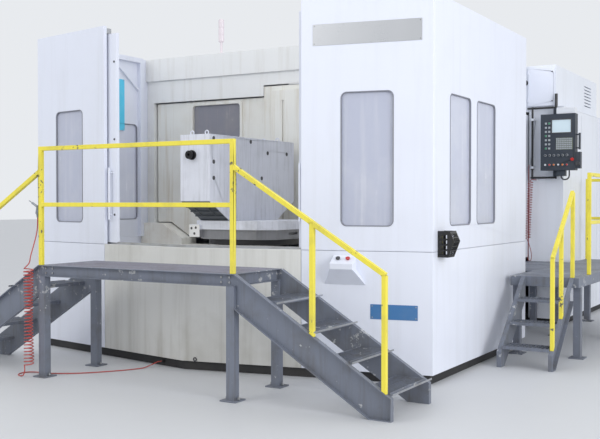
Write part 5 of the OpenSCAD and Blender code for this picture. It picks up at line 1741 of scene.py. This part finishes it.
@dataclass
class SideHose:
    """Thin air line that hangs beside the operator door, with a spiral in its middle.

    Attributes:
        radius: Radius of the hose.
        coil_radius: Radius of the spiral's middle line.
        turns: Turns of the spiral.
        steps: Points of one turn.
        supply: Points from the wall, down and round to the spiral's lower end.
        coil_low: Lower end of the spiral's axis.
        coil_high: Upper end of the spiral's axis.
        end: Points from the spiral to the tube frame.
    """

    radius: float = 0.004
    coil_radius: float = 0.0318
    turns: int = 23
    steps: int = 14
    supply: tuple[Point, ...] = (
        (1.876, 4.390, 2.050), (1.876, 4.366, 2.048), (1.876, 4.356, 2.030), (1.877, 4.352, 1.980),
        (1.880, 4.352, 1.800), (1.882, 4.352, 1.600), (1.882, 4.352, 1.400), (1.880, 4.352, 1.200),
        (1.876, 4.350, 1.040), (1.874, 4.346, 0.920), (1.876, 4.336, 0.852), (1.894, 4.320, 0.828),
        (1.920, 4.306, 0.836), (1.932, 4.300, 0.880), (1.924, 4.300, 0.960), (1.904, 4.300, 1.030),
    )
    coil_low: Point = (1.884, 4.300, 1.110)
    coil_high: Point = (1.915, 4.300, 1.840)
    end: tuple[Point, ...] = (
        (1.924, 4.318, 1.867), (1.940, 4.350, 1.868), (1.958, 4.384, 1.865), (1.962, 4.398, 1.865),
    )

    def spiral(self) -> list[Vector]:
        """Points of the spiral, from its lower end.

        Returns:
            The points.
        """
        low, high = Vector(self.coil_low), Vector(self.coil_high)
        axis = (high - low).normalized()
        side = axis.cross(Vector((0, 1, 0))).normalized()
        across = axis.cross(side)
        total = self.turns * self.steps
        points = []
        for i in range(total + 1):
            angle = 2 * math.pi * i / self.steps
            ray = math.cos(angle) * across + math.sin(angle) * side
            points.append(low.lerp(high, i / total) + self.coil_radius * ray)
        return points

    def build(self) -> None:
        """Lay the hose as one cord."""
        coil = self.spiral()
        first = smooth_line([*self.supply, coil[0]], 3)
        last = smooth_line([coil[-1], *self.end], 3)
        line = [*first[:-1], *coil, *last[1:]]
        lay_hose("side_hose_line", line, self.radius, ("side_hose",), DARK_HOSE)


def lay_hose(
    name: str, line: Sequence[Vector], radius: float,
    nodes: Sequence[str], finish: Finish,
) -> None:
    """Make one cord along a line and let it stand for its solids.

    Args:
        name: Name of the cord.
        line: Points from its exit to its far end.
        radius: Radius of the hose.
        nodes: Nodes that it stands for.
        finish: Its finish.
    """
    curve = bpy.data.curves.new(name, "CURVE")
    curve.dimensions = "3D"
    curve.bevel_depth = radius
    curve.bevel_resolution = 2
    curve.use_fill_caps = True
    spline = curve.splines.new("POLY")
    spline.points.add(len(line) - 1)
    spline.points.foreach_set("co", [c for p in line for c in (*p, 1.0)])
    spline.use_smooth = True
    obj = placed(name, curve)
    curve.materials.append(finish.material())
    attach(obj, ENCLOSURE)
    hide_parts(*nodes)


class NodeDresser:
    """Gives each CAD node its finish and, where its edges show, a soft-edged copy."""

    def __init__(self, frame: dict) -> None:
        """Keep the frame.

        Args:
            frame: The loaded frame.
        """
        self.nodes = frame["nodes"]

    def dress(self) -> None:
        """Dress every node in its finish."""
        for name, (finish, width) in NODE_FINISH.items():
            node = self.nodes[name]
            node.data.materials.clear()
            node.data.materials.append(finish.material())
            if width:
                self.soften(node, name, finish, width)

    def soften(self, node: bpy.types.Object, name: str, finish: Finish, width: float) -> None:
        """Replace a node by a copy with rounded edges.

        Args:
            node: The node's object.
            name: Name of the node.
            finish: Its finish.
            width: Width of the rounded edges.
        """
        mesh = soft_edged_copy(node, name + "_soft", width)
        if name == "rear_housing":
            self.ease_axle(mesh)
        piece = new_object(name + "_soft", mesh, finish, node["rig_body"])
        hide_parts(name)
        LOG.info("%s: %d faces", piece.name, len(mesh.polygons))

    @staticmethod
    def ease_axle(mesh: bpy.types.Mesh) -> None:
        """Draw in the facets of the magazine's axle, so that the hub turns round it without touching.

        Args:
            mesh: Mesh of the housing with the axle.
        """
        start, end = -2.262, -1.838
        inner, outer = 0.05, 0.0605
        middle_y, middle_z = 5.9, 1.65
        ease = 0.0007
        for vertex in mesh.vertices:
            across = Vector((0.0, vertex.co.y - middle_y, vertex.co.z - middle_z))
            if start < vertex.co.x < end and inner < across.length < outer:
                vertex.co -= ease * across.normalized()


def main() -> None:
    """Build the scene."""
    logging.basicConfig(level=logging.INFO, format="%(name)s: %(message)s")
    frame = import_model()
    studio = Studio()
    studio.camera()
    FrontHose().build(frame)
    SideHose().build()
    studio.light()
    studio.floor()
    NodeDresser(frame).dress()
    trims = (
        CoverTrim(Covers.from_frame()), PlatformTrim(), PendantTrim(), CabinetTrim(), FixtureTrim(),
        SkirtTrim(), BinTrim(),
    )
    for trim in trims:
        trim.build()
        LOG.info("%s is built", type(trim).__name__)
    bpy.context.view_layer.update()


if __name__ == "__main__":
    main()
